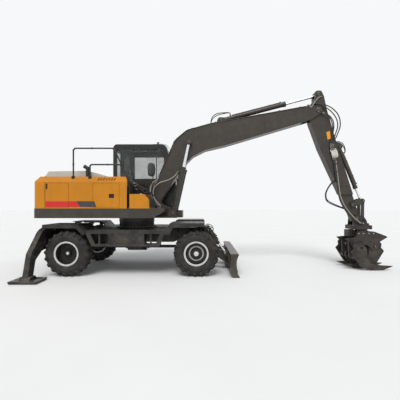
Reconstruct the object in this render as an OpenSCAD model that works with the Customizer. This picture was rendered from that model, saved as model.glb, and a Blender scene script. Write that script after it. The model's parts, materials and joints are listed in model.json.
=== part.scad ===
// Wheeled excavator with a one-piece boom, a dozer blade, two outriggers and a wood grapple.
// Origin: ground under the swing axis. +X is forward, +Y is the machine's left, +Z is up. Millimetres.

/* [Wheels] */
// Outer diameter of a tyre over its lugs
tyre_od = 1044; // [900:1:1150]
// Width of a tyre
tyre_w = 390; // [300:1:420]
// Lugs on each half of a tyre
lug_count = 20; // [18:1:28]
// Height of a lug over the casing
lug_h = 28; // [15:1:35]
// Width of a lug along the tread
lug_w = 60; // [40:1:64]
// Diameter of the rim's seat for the tyre
rim_d = 510; // [480:1:560]
// Distance between the middles of a right and a left tyre
track_w = 2010; // [1950:1:2100]
// Rear axle, forward of the swing axis
rear_axle_x = -1340; // [-1400:1:-1300]
// Front axle, forward of the swing axis
front_axle_x = 1585; // [1540:1:1640]
// Kingpin of a steered wheel, from the middle plane
kingpin_y = 755; // [740:1:760]

/* [Undercarriage] */
// Half width of the main frame
frame_half_w = 380; // [340:1:400]
// Top of the main frame
frame_top_z = 1060; // [1040:1:1070]
// Underside of the main frame's middle
frame_low_z = 700; // [640:1:740]
// Half width over the side steps
step_half_w = 1180; // [1100:1:1195]
// Thickness of deck and guard plates
deck_t = 14; // [8:1:20]
// Radius of the slew ring
slew_r = 445; // [400:1:500]

/* [Dozer blade] */
// Half width of the blade
blade_half_w = 1250; // [1100:1:1300]
// Height of the blade
blade_h = 530; // [450:1:560]
// Gap between the blade's edge and the ground
blade_gap = 5; // [3:1:40]

/* [Outriggers] */
// Thickness of an outrigger leg
leg_t = 115; // [90:1:115]
// Length of a foot pad along the machine
pad_l = 570; // [400:1:620]
// Width of a foot pad across the machine
pad_w = 470; // [350:1:480]

/* [Upper structure] */
// Half width of the upper structure
upper_half_w = 1200; // [1150:1:1220]
// Radius of the tail about the swing axis
tail_r = 2370; // [2340:1:2400]
// Top of the upper deck
deck_z = 1544; // [1530:1:1560]
// Top of the hood
hood_top_z = 2270; // [2200:1:2275]
// Thickness of a hood panel or service door
panel_t = 32; // [20:1:40]

/* [Cab] */
// Inner side of the cab, from the middle plane
cab_y0 = 368; // [366:1:380]
// Outer side of the cab, from the middle plane
cab_y1 = 1215; // [1180:1:1220]
// Roof of the cab
cab_top_z = 3300; // [3250:1:3400]
// Thickness of the cab's walls
cab_t = 45; // [30:1:50]

/* [Boom and arm] */
// Half width of the boom
boom_half_w = 170; // [150:1:180]
// Half width of the arm
arm_half_w = 130; // [110:1:135]
// Middle of a boom cylinder, from the middle plane
boom_cyl_y = 270; // [268:1:275]
// Outer radius of a boom or arm cylinder
barrel_r = 62; // [50:1:66]
// Radius of a boom or arm cylinder's rod
rod_r = 36; // [25:1:42]
// Radius of a main pin
pin_r = 40; // [30:1:45]

/* [Grapple] */
// Thickness of a tine
tine_t = 45; // [30:1:60]

/* [Hidden] */

$fn = 48;
orange = [0.93, 0.55, 0.07];
graphite = [0.24, 0.23, 0.22];
black = [0.12, 0.12, 0.12];
chrome = [0.82, 0.83, 0.84];
side_gap = 5;
fit_gap = 0.3;

wheel_z = tyre_od / 2;
wheel_y = track_w / 2;
kingpin_r = 32;
guard_half_w = step_half_w + 20;
blade_cyl_y = frame_half_w + 52;
steer_arm = [-200, 20, -110];
shaft_z = 545;
nose_l = 215;
bead_in = 45;
flange_t = 16;
flange_h = 22;
rim_t = 20;
disc_t = 18;
ring_h = 14;
rear_dish = 170;
front_dish = 100;
// Inner face of a rim's disc, from the middle plane
rear_disc_y = wheel_y + tyre_w / 2 - bead_in + flange_t - rear_dish - disc_t;
front_disc_y = wheel_y + tyre_w / 2 - bead_in + flange_t - front_dish - disc_t;

// Plan points of the working gear in the XZ plane, at rest
lift_lug_y = [342, 362];
boom_foot = [470, 1730];
boom_lift = [1380, 3220];
lift_foot = [980, 1420];
boom_tip = [4710, 4070];
arm_push = [4730, 4500];
push_foot = [2200, 3840];
tool_pin = [5710, 1280];
tool_foot = [5300, 3150];
rocker_pin = [5600, 1630];
link_top = [5880, 1740];
link_low = [5870, 1230];

// Plan points of the blade in the XZ plane
blade_pin = [1880, 520];
blade_foot = [1865, 1010];
blade_eye = [2330, 400];
blade_x = 2330;

// Points of the outrigger in the YZ plane, as distances from the middle plane
leg_x = -1932;
leg_pin = [480, 740];
leg_eye = [860, 1000];
leg_foot = [110, 1010];
pad_y = 1625;

function unit(v) = v / norm(v);

// A corner p of an outline between its neighbours a and b, rounded to radius r by n chords
function corner(a, p, b, r, n) =
    r <= 0 ? [p] :
    let (u = unit(a - p), v = unit(b - p), half = acos(u * v) / 2,
         c = p + unit(u + v) * r / sin(half),
         s = p + u * r / tan(half) - c, e = p + v * r / tan(half) - c,
         a0 = atan2(s[1], s[0]), turn = atan2(e[1], e[0]) - a0,
         d = turn > 180 ? turn - 360 : turn < -180 ? turn + 360 : turn)
    [for (i = [0:n]) c + r * [cos(a0 + d * i / n), sin(a0 + d * i / n)]];

// An outline whose corners are [x, y, radius]; a corner with no radius stays sharp
function rounded(q, n = 6) =
    let (m = len(q), at = function(i) [q[i % m][0], q[i % m][1]])
    [for (i = [0:m - 1]) each corner(at(i + m - 1), at(i), at(i + 1), q[i][2] == undef ? 0 : q[i][2], n)];

// Prisms: an outline in XZ between two Y, in YZ between two X, and in XY between two Z
module along_y(y0, y1, q) {
    translate([0, y1, 0]) rotate([90, 0, 0]) linear_extrude(y1 - y0) polygon(rounded(q));
}
module along_x(x0, x1, q) {
    translate([x0, 0, 0]) rotate([90, 0, 90]) linear_extrude(x1 - x0) polygon(rounded(q));
}
module along_z(z0, z1, q) {
    translate([0, 0, z0]) linear_extrude(z1 - z0) polygon(rounded(q));
}

// A box from its low corner to its high corner
module block(low, high) { translate(low) cube(high - low); }

// Round pieces: along Y at a point of the XZ plane, along X at a point of the YZ plane
module rod_y(p, y0, y1, r) { translate([p[0], y1, p[1]]) rotate([90, 0, 0]) cylinder(h = y1 - y0, r = r); }
module rod_x(p, x0, x1, r) { translate([x0, p[0], p[1]]) rotate([0, 90, 0]) cylinder(h = x1 - x0, r = r); }

// A round bar between two points in space
module bar(a, b, r) {
    d = b - a;
    translate(a) rotate([0, acos(d[2] / norm(d)), atan2(d[1], d[0])]) cylinder(h = norm(d), r = r);
}

// Puts a piece drawn along +X, from the origin, on the line from a to b in the XZ plane, at y
module on_line(a, b, y) {
    d = b - a;
    translate([a[0], y, a[1]]) rotate([0, -atan2(d[1], d[0]), 0]) children();
}

module both_sides() {
    children();
    mirror([0, 1, 0]) children();
}

// Hydraulic cylinder along +X: tube with its foot eye at the origin, open at the gland
module cylinder_tube(length, r, bore_r, eye_w, eye_bore) {
    eye_r = eye_bore * 1.75;
    difference() {
        union() {
            translate([eye_r - 4, 0, 0]) rotate([0, 90, 0]) cylinder(h = length - eye_r + 4, r = r);
            translate([length - 70, 0, 0]) rotate([0, 90, 0]) cylinder(h = 70, r = r + 7);
            rod_y([0, 0], -eye_w / 2, eye_w / 2, eye_r);
        }
        rod_y([0, 0], -eye_w, eye_w, eye_bore);
        translate([eye_r + 20, 0, 0]) rotate([0, 90, 0]) cylinder(h = length, r = bore_r);
    }
}

// Rod of a hydraulic cylinder along +X: its eye is at x = reach, with a pin of its own
module cylinder_rod(reach, inside, r, eye_w, eye_r) {
    translate([reach - inside, 0, 0]) rotate([0, 90, 0]) cylinder(h = inside - eye_r * 0.6, r = r);
    rod_y([reach, 0], -eye_w / 2, eye_w / 2, eye_r);
    rod_y([reach, 0], -eye_w / 2 - 4, eye_w / 2 + 4, eye_r * 0.5);
}

// Undercarriage
module chassis_frame() color(black) {
    difference() {
        union() {
            along_y(-frame_half_w, frame_half_w, [
                [-1850, frame_top_z], [-1850, 800], [-1620, 800, 40], [-1560, 760, 40],
                [rear_axle_x - 180, 760], [rear_axle_x + 180, 760], [-950, frame_low_z, 60],
                [1000, frame_low_z, 60], [front_axle_x - 330, 800, 60], [1780, 800],
                [1905, 900, 40], [1905, 1090, 30], [1740, 1090, 60], [1500, frame_top_z, 60]]);
            translate([0, 0, frame_top_z - 200]) cylinder(h = 216, r = slew_r + 70, $fn = 72);
            translate([0, 0, frame_top_z + 10]) cylinder(h = 140, r = slew_r, $fn = 72);
            // Lugs of the blade arms and of the blade cylinders
            both_sides() for (y = [220, 322])
                along_y(y, y + 22, [[1700, 810], [1820, 440, 30], [1930, 440, 50], [1945, 560, 50],
                    [1900, 810]]);
            both_sides() for (y = [blade_cyl_y - 62, blade_cyl_y + 46])
                along_y(y, y + 16, [[1760, 930], [1900, 930, 40], [1925, 1045, 40], [1830, 1085, 40],
                    [1760, 1060]]);
            both_sides() block([1760, frame_half_w - 10, 930], [1800, blade_cyl_y + 62, 1060]);
            // Rear cross beam that carries the outriggers
            for (x = [leg_x - leg_t / 2 - side_gap - 20, leg_x + leg_t / 2 + side_gap])
                along_x(x, x + 20, [[-580, 620, 40], [580, 620, 40], [580, 1110, 40], [-580, 1110, 40]]);
            block([leg_x - leg_t / 2 - side_gap, -45, 640], [-1850, 45, 1090]);
            both_sides() rod_x(leg_pin, leg_x - leg_t / 2 - 40, leg_x + leg_t / 2 + 30, pin_r - 8);
            both_sides() rod_x(leg_foot, leg_x - leg_t / 2 - 40, leg_x + leg_t / 2 + 30, 24);
            // Pins of the blade arms and cylinders
            both_sides() rod_y(blade_pin, 220, 344, 30);
            both_sides() rod_y(blade_foot, blade_cyl_y - 62, blade_cyl_y + 70, 24);
        }
        translate([0, 0, frame_low_z - 50]) cylinder(h = 600, r = slew_r - 190, $fn = 72);
        both_sides() rod_y([-1650, 950], frame_half_w - 60, frame_half_w + 1, 45);
    }
}

// Mudguards: a plate bent down towards the step, gussets under it, and a lip along its outer edge
module mudguards() color(black) both_sides() {
    along_y(frame_half_w, guard_half_w, [
        [-1865, 1180], [-1865, 1180 - deck_t], [-1080, 1180 - deck_t], [-930, 1010],
        [-915, 1010 + deck_t], [-1070, 1180]]);
    along_y(guard_half_w - deck_t, guard_half_w, [
        [-1865, 1175], [-1865, 1100], [-1110, 1100, 60], [-970, 950], [-915, 950], [-915, 1010 + deck_t],
            [-1070, 1178]]);
    for (x = [-1800, -1400, -1120])
        along_x(x, x + deck_t, [[frame_half_w, 900], [frame_half_w, 1180 - deck_t],
            [guard_half_w - 80, 1180 - deck_t], [700, 1110]]);
    along_y(frame_half_w, guard_half_w, [
        [885, 1010 + deck_t], [895, 1010], [1005, 1215 - deck_t], [1760, 1215 - deck_t],
        [1760, 1215], [995, 1215]]);
    along_y(guard_half_w - deck_t, guard_half_w, [
        [885, 1010 + deck_t], [885, 950], [990, 950], [1060, 1115, 60], [1760, 1135], [1760, 1210],
            [996, 1213]]);
    for (x = [1080, 1380, 1660])
        along_x(x, x + deck_t, [[frame_half_w, 900], [frame_half_w, 1215 - deck_t],
            [guard_half_w - 80, 1215 - deck_t], [700, 1110]]);
}

module side_steps() color(black) both_sides() {
    difference() {
        union() {
            // Top deck with its lip, lower step and the slanted end frames
            block([-905, frame_half_w, 1035], [880, step_half_w, 1035 + deck_t]);
            along_y(step_half_w - 60, step_half_w, [
                [-905, 1048], [-905, 985], [-760, 690, 20], [760, 690, 20], [880, 985], [880, 1048]]);
            block([-760, 900, 690], [760, step_half_w, 735]);
        }
        along_y(step_half_w - 80, step_half_w + 20, [[-790, 975], [-690, 740], [-400, 740], [-400, 975]]);
        along_y(step_half_w - 80, step_half_w + 20, [[415, 975], [415, 740], [670, 740], [770, 975]]);
        translate([0, 0, 1000]) cylinder(h = 100, r = slew_r + 70 + fit_gap, $fn = 72);
    }
    // Tool box under the deck
    block([-400, 820, 735], [400, step_half_w - 8, 1035]);
}

// Axle beam along Y with its differential, whose nose takes the shaft; ends at the hub or the fork
module axle_beam(half_l, nose) {
    rod_y([0, 0], -half_l, half_l, 88);
    sphere(r = 175);
    both_sides() rod_y([0, 0], 120, 260, 125);
    rod_x([0, shaft_z - wheel_z], min(0, nose), max(0, nose), 62);
}

module rear_axle() color(black) translate([rear_axle_x, 0, wheel_z]) {
    axle_beam(rear_disc_y - fit_gap, nose_l);
    both_sides() for (x = [-95, 40]) block([x, 250, 0], [x + 55, 340, 760 - wheel_z]);
    both_sides() rod_y([0, 0], 760, rear_disc_y - 30, 150);
}

module front_axle() color(black) translate([front_axle_x, 0, wheel_z]) {
    axle_beam(kingpin_y - 100, -nose_l);
    block([-60, -70, 90], [60, 70, 800 - wheel_z]);
    // Steering cylinder behind the beam, with a rod out of each end
    rod_y([steer_arm[0], steer_arm[2]], -300, 300, 40);
    rod_y([steer_arm[0], steer_arm[2]], -520, 520, 20);
    both_sides() block([steer_arm[0], 190, steer_arm[2] - 20], [-60, 230, steer_arm[2] + 50]);
    // Forks above and below each knuckle
    both_sides() difference() {
        block([-75, kingpin_y - 160, -185], [75, kingpin_y + 62, 185]);
        block([-90, kingpin_y - 105, -145], [90, kingpin_y + 80, 145]);
        translate([0, kingpin_y, -200]) cylinder(h = 400, r = kingpin_r + fit_gap);
    }
}

module drive_line() color(black) {
    // Transfer box under the frame, and the shafts to both axles
    block([-170, -190, 470], [190, 190, frame_low_z]);
    rod_x([0, shaft_z], -230, 260, 100);
    rod_x([0, shaft_z], rear_axle_x + nose_l, front_axle_x - nose_l, 38);
    for (x = [rear_axle_x + nose_l, -290, 290, front_axle_x - nose_l - 30]) rod_x([0, shaft_z], x, x + 30,
        58);
}

// Steering knuckle of the right wheel about the kingpin; the left one is its mirror image
module knuckle() color(black) translate([front_axle_x, -kingpin_y, wheel_z]) {
    translate([0, 0, -140]) cylinder(h = 280, r = 62);
    translate([0, 0, -190]) cylinder(h = 380, r = kingpin_r);
    rod_y([0, 0], kingpin_y - front_disc_y + fit_gap, 0, 66);
    rod_y([0, 0], -150, -60, 120);
    bar([0, 0, steer_arm[2]], steer_arm, 24);
}

// Tyre about Y: the casing from bead to bead, and two rows of leaning lugs half a pitch apart
module tyre_ring() {
    h = tyre_w / 2;
    ri = rim_d / 2;
    ro = tyre_od / 2;
    side_wall = [[ri, bead_in], [ri + flange_h + 2, bead_in], [ri + 70, 6], [ri + 130, 0],
        [ro - lug_h, 60]];
    // A lug from the tread's middle over the shoulder, as [radius, distance from the middle]
    lug = [[ro - lug_h - 10, 8], [ro, 8], [ro - 6, h - 50], [ro - 60, h - 2], [ro - 100, h - 24]];
    rotate([90, 0, 0]) {
        rotate_extrude($fn = 20) polygon(concat(
            [for (p = side_wall) [p[0], p[1] - h]], [for (i = [len(side_wall) - 1:-1:0]) [side_wall[i][0],
                h - side_wall[i][1]]]));
        for (row = [0, 1]) mirror([0, 0, row]) for (i = [0:lug_count - 1])
            rotate([0, 0, (i + row / 2) * 360 / lug_count]) rotate([12, 0, 0]) along_y(-lug_w / 2,
                lug_w / 2, lug);
    }
}

module tyre_at(x, y) color(black) translate([x, y, wheel_z]) tyre_ring();

// Rim about Y, its outer side towards -Y: barrel, flanges, a disc set in by depth with a raised
// ring, and the hub with its cap
module rim(depth, ring_r, hub_r, hub_l) {
    h = tyre_w / 2 - bead_in;
    ri = rim_d / 2;
    edge = h + flange_t;
    face = edge - depth;
    rotate([90, 0, 0]) rotate_extrude($fn = 72) polygon([
        [ri - rim_t, -h], [ri, -h], [ri, h], [ri + flange_h, h], [ri + flange_h, edge], [ri - 8, edge],
        [ri - rim_t, edge - rim_t], [ri - rim_t, face], [ring_r + 15, face], [ring_r + 15, face + ring_h],
        [ring_r - 15, face + ring_h], [ring_r - 15, face], [hub_r, face], [hub_r, face + hub_l - 12],
        [hub_r - 12, face + hub_l], [hub_r / 2, face + hub_l], [hub_r / 2, face + hub_l + 12],
        [0, face + hub_l + 12], [0, face - disc_t], [ri - rim_t, face - disc_t]]);
    rotate([90, 0, 0]) rotate_extrude($fn = 72) polygon([
        [ri - rim_t, -h], [ri + flange_h, -edge], [ri + flange_h, -h], [ri, -h]]);
}

module rear_rim(side) color("white") translate([rear_axle_x, side * wheel_y, wheel_z])
    on_side(side) rim(rear_dish, 140, 62, 90);

module front_rim(side) color("white") translate([front_axle_x, side * wheel_y, wheel_z])
    on_side(side) rim(front_dish, 155, 100, 74);

// A piece drawn on the right side (-Y), or its mirror image on the left
module on_side(side) {
    if (side < 0) children();
    else mirror([0, 1, 0]) children();
}

// Dozer blade with its two arms
module dozer_blade() color(graphite) {
    difference() {
        union() {
            along_y(-blade_half_w, blade_half_w, [
                [blade_x + 80, blade_gap], [blade_x + 230, blade_gap], [blade_x + 175, 90],
                each [for (a = [200:-10:150]) [blade_x + 590 + 435 * cos(a), 300 + 435 * sin(a)]],
                [blade_x + 150, blade_h], [blade_x + 20, blade_h], [blade_x + 30, 470],
                    [blade_x + 25, 120]]);
            both_sides() along_y(247, 317, [
                [1830, 520, 40], [1880, 575, 40], [2060, 520, 60], [blade_x + 60, 460],
                [blade_x + 60, 120], [2080, 330, 60], [1880, 465, 40]]);
            along_y(-320, 320, [[blade_x - 40, 430], [blade_x + 60, 430], [blade_x + 60, 180],
                [blade_x - 40, 180]]);
            both_sides() for (y = [blade_cyl_y - 50, blade_cyl_y + 30])
                along_y(y, y + 20, [[blade_x + 60, 500], [blade_x - 30, 450, 30],
                    [blade_x - 60, 380, 30], [blade_x + 60, 300]]);
        }
        both_sides() rod_y(blade_pin, 200, 360, 30 + fit_gap);
        // Windows that lighten the blade's arms show the pin from the side
        both_sides() rod_y([2100, 425], 240, 330, 30);
    }
}

module blade_barrels() color(black) both_sides() on_line(blade_foot, blade_eye, blade_cyl_y)
    cylinder_tube(430, 38, 25 + fit_gap, 76, 24 + fit_gap);

module blade_rods() color(chrome) both_sides() on_line(blade_foot, blade_eye, blade_cyl_y) {
    cylinder_rod(norm(blade_eye - blade_foot) - 30, 435, 25, 40, 36);
}

// Outrigger leg with its foot pad, drawn for the right side in (distance from the middle, height)
module leg() color(black) {
    x0 = leg_x - leg_t / 2;
    x1 = leg_x + leg_t / 2;
    mirror([0, 1, 0]) {
        difference() {
            along_x(x0, x1, [
                [400, 640, 60], [385, 830, 60], [640, 1010, 80], [800, 1115, 60], [1000, 1095, 120],
                [1180, 1020, 60], [1600, 590, 50], [pad_y + 120, 95], [pad_y - 90, 95], [1440, 430, 60],
                [1180, 600, 80], [800, 640, 100], [560, 625, 60]]);
            rod_x(leg_pin, x0 - 1, x1 + 1, pin_r - 8 + fit_gap);
            // Slot for the rod's eye
            along_x(leg_x - 32, leg_x + 32, [[500, 880], [860, 930, 40], [925, 950, 40], [925, 1200],
                [500, 1200]]);
            // Hollow between the flanges of the outer half
            for (s = [x0 - 1, x1 - 34]) along_x(s, s + 35, [[1010, 960, 80], [1190, 930, 50],
                [1520, 590, 60], [1440, 500, 50], [1030, 760, 80]]);
        }
        rod_x(leg_eye, leg_x + 36, x1 + 6, 30);
        rod_x(leg_eye, x0 - 6, leg_x - 36, 30);
        along_x(leg_x - pad_l / 2, leg_x + pad_l / 2, [
            [pad_y - pad_w / 2, 45], [pad_y - pad_w / 2 + 40, 0], [pad_y + pad_w / 2 - 40, 0],
                [pad_y + pad_w / 2, 45],
            [pad_y + pad_w / 2, 60], [pad_y - pad_w / 2, 60]]);
        along_x(leg_x - 110, leg_x + 110, [[pad_y - 150, 60], [pad_y + 160, 60], [pad_y + 100, 130, 20],
            [pad_y - 80, 130, 20]]);
    }
}
module leg_line() {
    d = leg_eye - leg_foot;
    mirror([0, 1, 0]) translate([leg_x, leg_foot[0], leg_foot[1]]) rotate([0, 0, 90]) rotate([0,
        -atan2(d[1], d[0]), 0]) children();
}
module leg_barrel() color(black) leg_line() cylinder_tube(395, 42, 25 + fit_gap, 60, 24 + fit_gap);
module leg_rod() color(chrome) leg_line() cylinder_rod(norm(leg_eye - leg_foot), 480, 25, 46, 44);

// Plan of the upper structure: straight sides and a tail that is round about the swing axis
function plan(x1, w, r, corner_r) =
    let (a = asin(w / r), x0 = -r * cos(a))
    concat([[x1, -w], [x0, -w, corner_r]],
           [for (i = [1:9]) -r * [cos(a - a * i / 5), sin(a - a * i / 5)]],
           [[x0, w, corner_r], [x1, w]]);

module upper_frame() color(graphite) {
    difference() {
        union() {
            intersection() {
                along_z(1300, deck_z, plan(820, upper_half_w, tail_r, 120));
                along_y(-upper_half_w, upper_half_w, [
                    [-2400, 1400, 60], [-2280, 1327, 60], [560, 1327, 60], [820, 1440, 60],
                        [820, deck_z], [-2400, deck_z]]);
            }
            translate([0, 0, frame_top_z + 150 + fit_gap]) cylinder(h = 120, r = slew_r + 8, $fn = 72);
            // Front of the middle frame, under the boom cylinders
            block([500, -lift_lug_y[1], 1300], [1075, lift_lug_y[1], 1343]);
            block([1060, -190, 1305], [1205, 190, 1490]);
            // Cheeks of the boom's foot
            both_sides() along_y(boom_half_w + side_gap, boom_half_w + 30, [
                [-60, 1500], [330, 1850, 90], [600, 1850, 90], [700, 1640, 60], [1080, 1500, 50],
                    [1080, 1310], [-60, 1400]]);
            // Outer lugs of the boom cylinders
            both_sides() along_y(lift_lug_y[0], lift_lug_y[1], [[850, 1310], [890, 1500, 70],
                [1070, 1500, 70], [1078, 1310]]);
            both_sides() rod_y(boom_foot, 0, boom_half_w + 42, pin_r);
            both_sides() rod_y(lift_foot, boom_half_w + 10, lift_lug_y[1] + 6, pin_r - 4);
        }
        // Slot between the cheeks for the boom's foot
        block([240, -boom_half_w - side_gap, 1480], [1100, boom_half_w + side_gap, 1500 + 60]);
    }
}

hood_w = upper_half_w - 5;
hood_in = -350;
hood_x0 = -1806;
hood_x1 = 30;
door_low = 1572;
door_high = 2112;
rear_door = [-1790, -1275];
front_door = [-728, -140];
left_door = [-1790, -830];
lip_t = 12;
wall_t = panel_t + lip_t;
edge_y = hood_w - 120;
edge_low_z = 2140;
slot_count = 7;
slot_x = -618;
slot_pitch = 60;

// Height of the hood's slanted edge at y
function edge_z(y) = edge_low_z + (hood_w - abs(y)) * (hood_top_z - edge_low_z) / (hood_w - edge_y);

module counterweight() color(orange) intersection() {
    along_z(deck_z, hood_top_z, plan(hood_x0 - 2, hood_w, tail_r - 10, 140));
    along_x(-tail_r, hood_x0 - 2, [
        [-hood_w, deck_z], [-hood_w, edge_low_z], [-edge_y, hood_top_z],
        [edge_y, hood_top_z], [hood_w, edge_low_z], [hood_w, deck_z]]);
    union() {
        translate([0, 0, deck_z]) cylinder(h = edge_low_z - deck_z, r = tail_r - 10, $fn = 96);
        translate([0, 0, edge_low_z]) cylinder(h = hood_top_z - edge_low_z, r1 = tail_r - 10,
            r2 = tail_r - 130, $fn = 96);
    }
}

// Recess and way in of a service door between x[0] and x[1], in the right or left wall
module door_way(x, side) on_side(side) {
    block([x[0] - side_gap, -hood_w - 1, door_low - side_gap],
        [x[1] + side_gap, -hood_w + panel_t, door_high + side_gap]);
    block([x[0] + 25, -hood_w - 1, door_low + 25], [x[1] - 25, -hood_w + wall_t + 1, door_high - 25]);
}
// Service door between x[0] and x[1], with the recess of its latch from low to high in X and Z
module service_door(x, side, low, high) color(orange) on_side(side) difference() {
    block([x[0], -hood_w, door_low], [x[1], -hood_w + panel_t - fit_gap, door_high]);
    block([low[0], -hood_w - 1, low[1]], [high[0], -hood_w + panel_t / 2, high[1]]);
}

module hood() color(orange) difference() {
    union() {
        along_x(hood_x0, -790, [
            [-hood_w, deck_z], [-hood_w, edge_low_z], [-edge_y, hood_top_z], [edge_y, hood_top_z],
                [hood_w, edge_low_z], [hood_w, deck_z]]);
        intersection() {
            along_x(-791, hood_x1, [[-hood_w, deck_z], [-hood_w, edge_low_z], [-edge_y, hood_top_z],
                [hood_in, hood_top_z], [hood_in, deck_z]]);
            along_y(-hood_w, hood_in, [[-800, deck_z - 1], [hood_x1, deck_z - 1], [hood_x1, 2170, 110],
                [-20, hood_top_z + 1], [-800, hood_top_z + 1]]);
        }
    }
    along_x(hood_x0 + 20, -790 - 35, [
        [-hood_w + wall_t, deck_z - 1], [-hood_w + wall_t, edge_low_z - 20],
            [15 - edge_y, hood_top_z - 35], [edge_y - 15, hood_top_z - 35],
        [hood_w - wall_t, edge_low_z - 20], [hood_w - wall_t, deck_z - 1]]);
    along_x(-790, hood_x1 - 35, [
        [-hood_w + wall_t, deck_z - 1], [-hood_w + wall_t, edge_low_z - 20],
            [15 - edge_y, hood_top_z - 110], [hood_in - 35, hood_top_z - 110],
        [hood_in - 35, deck_z - 1]]);
    door_way(rear_door, -1);
    door_way(front_door, -1);
    door_way(left_door, 1);
    // Air slots along the slanted edge
    for (i = [0:slot_count - 1])
        translate([slot_x + i * slot_pitch, -(hood_w + edge_y) / 2, (edge_low_z + hood_top_z) / 2])
            rotate([atan2(hood_top_z - edge_low_z, hood_w - edge_y), 0, 0]) rotate([0, 0, -15])
                cube([22, 96, 40], center = true);
    // Way in under the bonnet
    block([-1700, -720, hood_top_z - 60], [-860, 250, hood_top_z + 1]);
}

module front_tank() color(orange) along_y(-hood_w, -420, [
    [90, deck_z], [90, 1868], [410, 1868, 60], [525, 1760, 60], [535, deck_z]]);

module bonnet() color([0.75, 0.76, 0.77]) difference() {
    along_y(-800, 300, [
        [-1990, hood_top_z + fit_gap], [-1990, 2300], [-1930, 2420, 60], [-1000, 2435, 60],
            [-520, 2300, 60],
        [-505, hood_top_z + fit_gap]]);
    along_y(-800 + panel_t, 300 - panel_t, [
        [-1950, hood_top_z - 1], [-1905, 2388], [-1010, 2402], [-600, 2290], [-590, hood_top_z - 1]]);
}

module engine() color([0.35, 0.36, 0.38]) {
    block([-1600, -520, deck_z], [-900, 180, 2190]);
}

module exhaust() color(black) {
    elbow = [-955, 295 - hood_w, hood_top_z + 210];
    translate([elbow[0], elbow[1], hood_top_z]) cylinder(h = elbow[2] - hood_top_z, r = 42);
    translate(elbow) sphere(r = 43);
    bar(elbow, elbow + [-75, 0, 45], 42);
}

rail_r = 17;
rail_y = 95 - hood_w;
module rail(path) for (i = [1:len(path) - 1]) {
    bar(path[i - 1], path[i], rail_r);
    if (i < len(path) - 1) translate(path[i]) sphere(r = rail_r + 1);
}
module handrails() color(black) {
    post_z = hood_top_z + 5;
    top_z = 2910;
    x1 = (hood_x1 + 90) / 2;
    rail([for (p = [[-1205, post_z], [-1205, top_z - 40], [-1165, top_z], [-320, top_z], [-270, top_z - 40],
        [x1 - 40, 2260], [x1, 2120], [x1, deck_z]]) [p[0], rail_y, p[1]]]);
    rail([for (p = [[-827, post_z], [-827, 2510], [-797, 2540], [-110, 2540]]) [p[0], rail_y, p[1]]]);
    // Feet that stand on the slanted edge of the hood
    for (x = [-1205, -827])
        along_x(x - 30, x + 30, [
            [rail_y - 30, edge_z(rail_y - 30)], [rail_y + 22, edge_z(rail_y + 22)],
                [rail_y + 22, post_z + 2], [rail_y - 30, post_z + 2]]);
}

// Side outline of the cab, moved in by d
function cab_outline(d) = [
    [-740 + d, deck_z + 6 + d], [-740 + d, cab_top_z - d, 110], [700 - d * 0.6, cab_top_z - d, 150],
    [975 - d, 2350, 200], [1005 - d, 1900, 100], [990 - d, deck_z + 6 + d, 40]];
cab_door_x = [-455, 640];
cab_door_z = [1760, 3150];

// Cutters of the cab's fixed windows; the door's window is its own
module cab_windows() {
    along_y(cab_y0 - 60, cab_y0 + 60, [[-640, 2340, 30], [-640, 3180, 60], [600, 3180, 80],
        [850, 2350, 60], [860, 2340]]);
    block([-760, cab_y0 + 80, 2330], [-640, cab_y1 - 90, 3160]);
    block([700, cab_y0 + 70, 1800], [1100, cab_y1 - 80, 2900]);
    along_y(cab_y0 + 70, cab_y1 - 80, [[700, 3050], [700, 2899], [1000, 2899], [1000, 3050]]);
    along_y(cab_y1 - 60, cab_y1 + 60, [[700, 2100, 20], [700, 3020, 20], [770, 2980], [930, 2300, 30],
        [940, 2100, 20]]);
    block([-300, cab_y0 + 150, cab_top_z - 80], [350, cab_y1 - 150, cab_top_z + 20]);
}
module cab_shell() color(black) difference() {
    union() {
        difference() {
            along_y(cab_y0, cab_y1, cab_outline(0));
            along_y(cab_y0 + cab_t, cab_y1 - cab_t - lip_t, cab_outline(cab_t));
        }
        // Feet under the floor
        for (x = [-640, 780]) for (y = [cab_y0 + 90, cab_y1 - 150])
            block([x, y, deck_z], [x + 80, y + 60, deck_z + 10]);
    }
    cab_windows();
    block([cab_door_x[0] - side_gap, cab_y1 - cab_t + 5, cab_door_z[0] - side_gap],
          [cab_door_x[1] + side_gap, cab_y1 + 1, cab_door_z[1] + side_gap]);
    block([cab_door_x[0] + 30, cab_y1 - cab_t - lip_t - 1, cab_door_z[0] + 30],
          [cab_door_x[1] - 30, cab_y1 + 1, cab_door_z[1] - 30]);
}
module cab_glass() color([0.6, 0.7, 0.72, 0.4]) intersection() {
    difference() {
        along_y(cab_y0 + 12, cab_y1 - 12, cab_outline(12));
        along_y(cab_y0 + 20, cab_y1 - 20, cab_outline(20));
    }
    cab_windows();
}
door_window = [[-340, 2150, 40], [-340, 3070, 40], [550, 3070, 40], [550, 2150, 40]];
module cab_door() color(black) difference() {
    block([cab_door_x[0], cab_y1 - cab_t + 5 + fit_gap, cab_door_z[0]],
        [cab_door_x[1], cab_y1, cab_door_z[1]]);
    along_y(cab_y1 - 100, cab_y1 + 10, door_window);
}
module door_glass() color([0.6, 0.7, 0.72, 0.4]) along_y(cab_y1 - 26, cab_y1 - 18, door_window);

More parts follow.
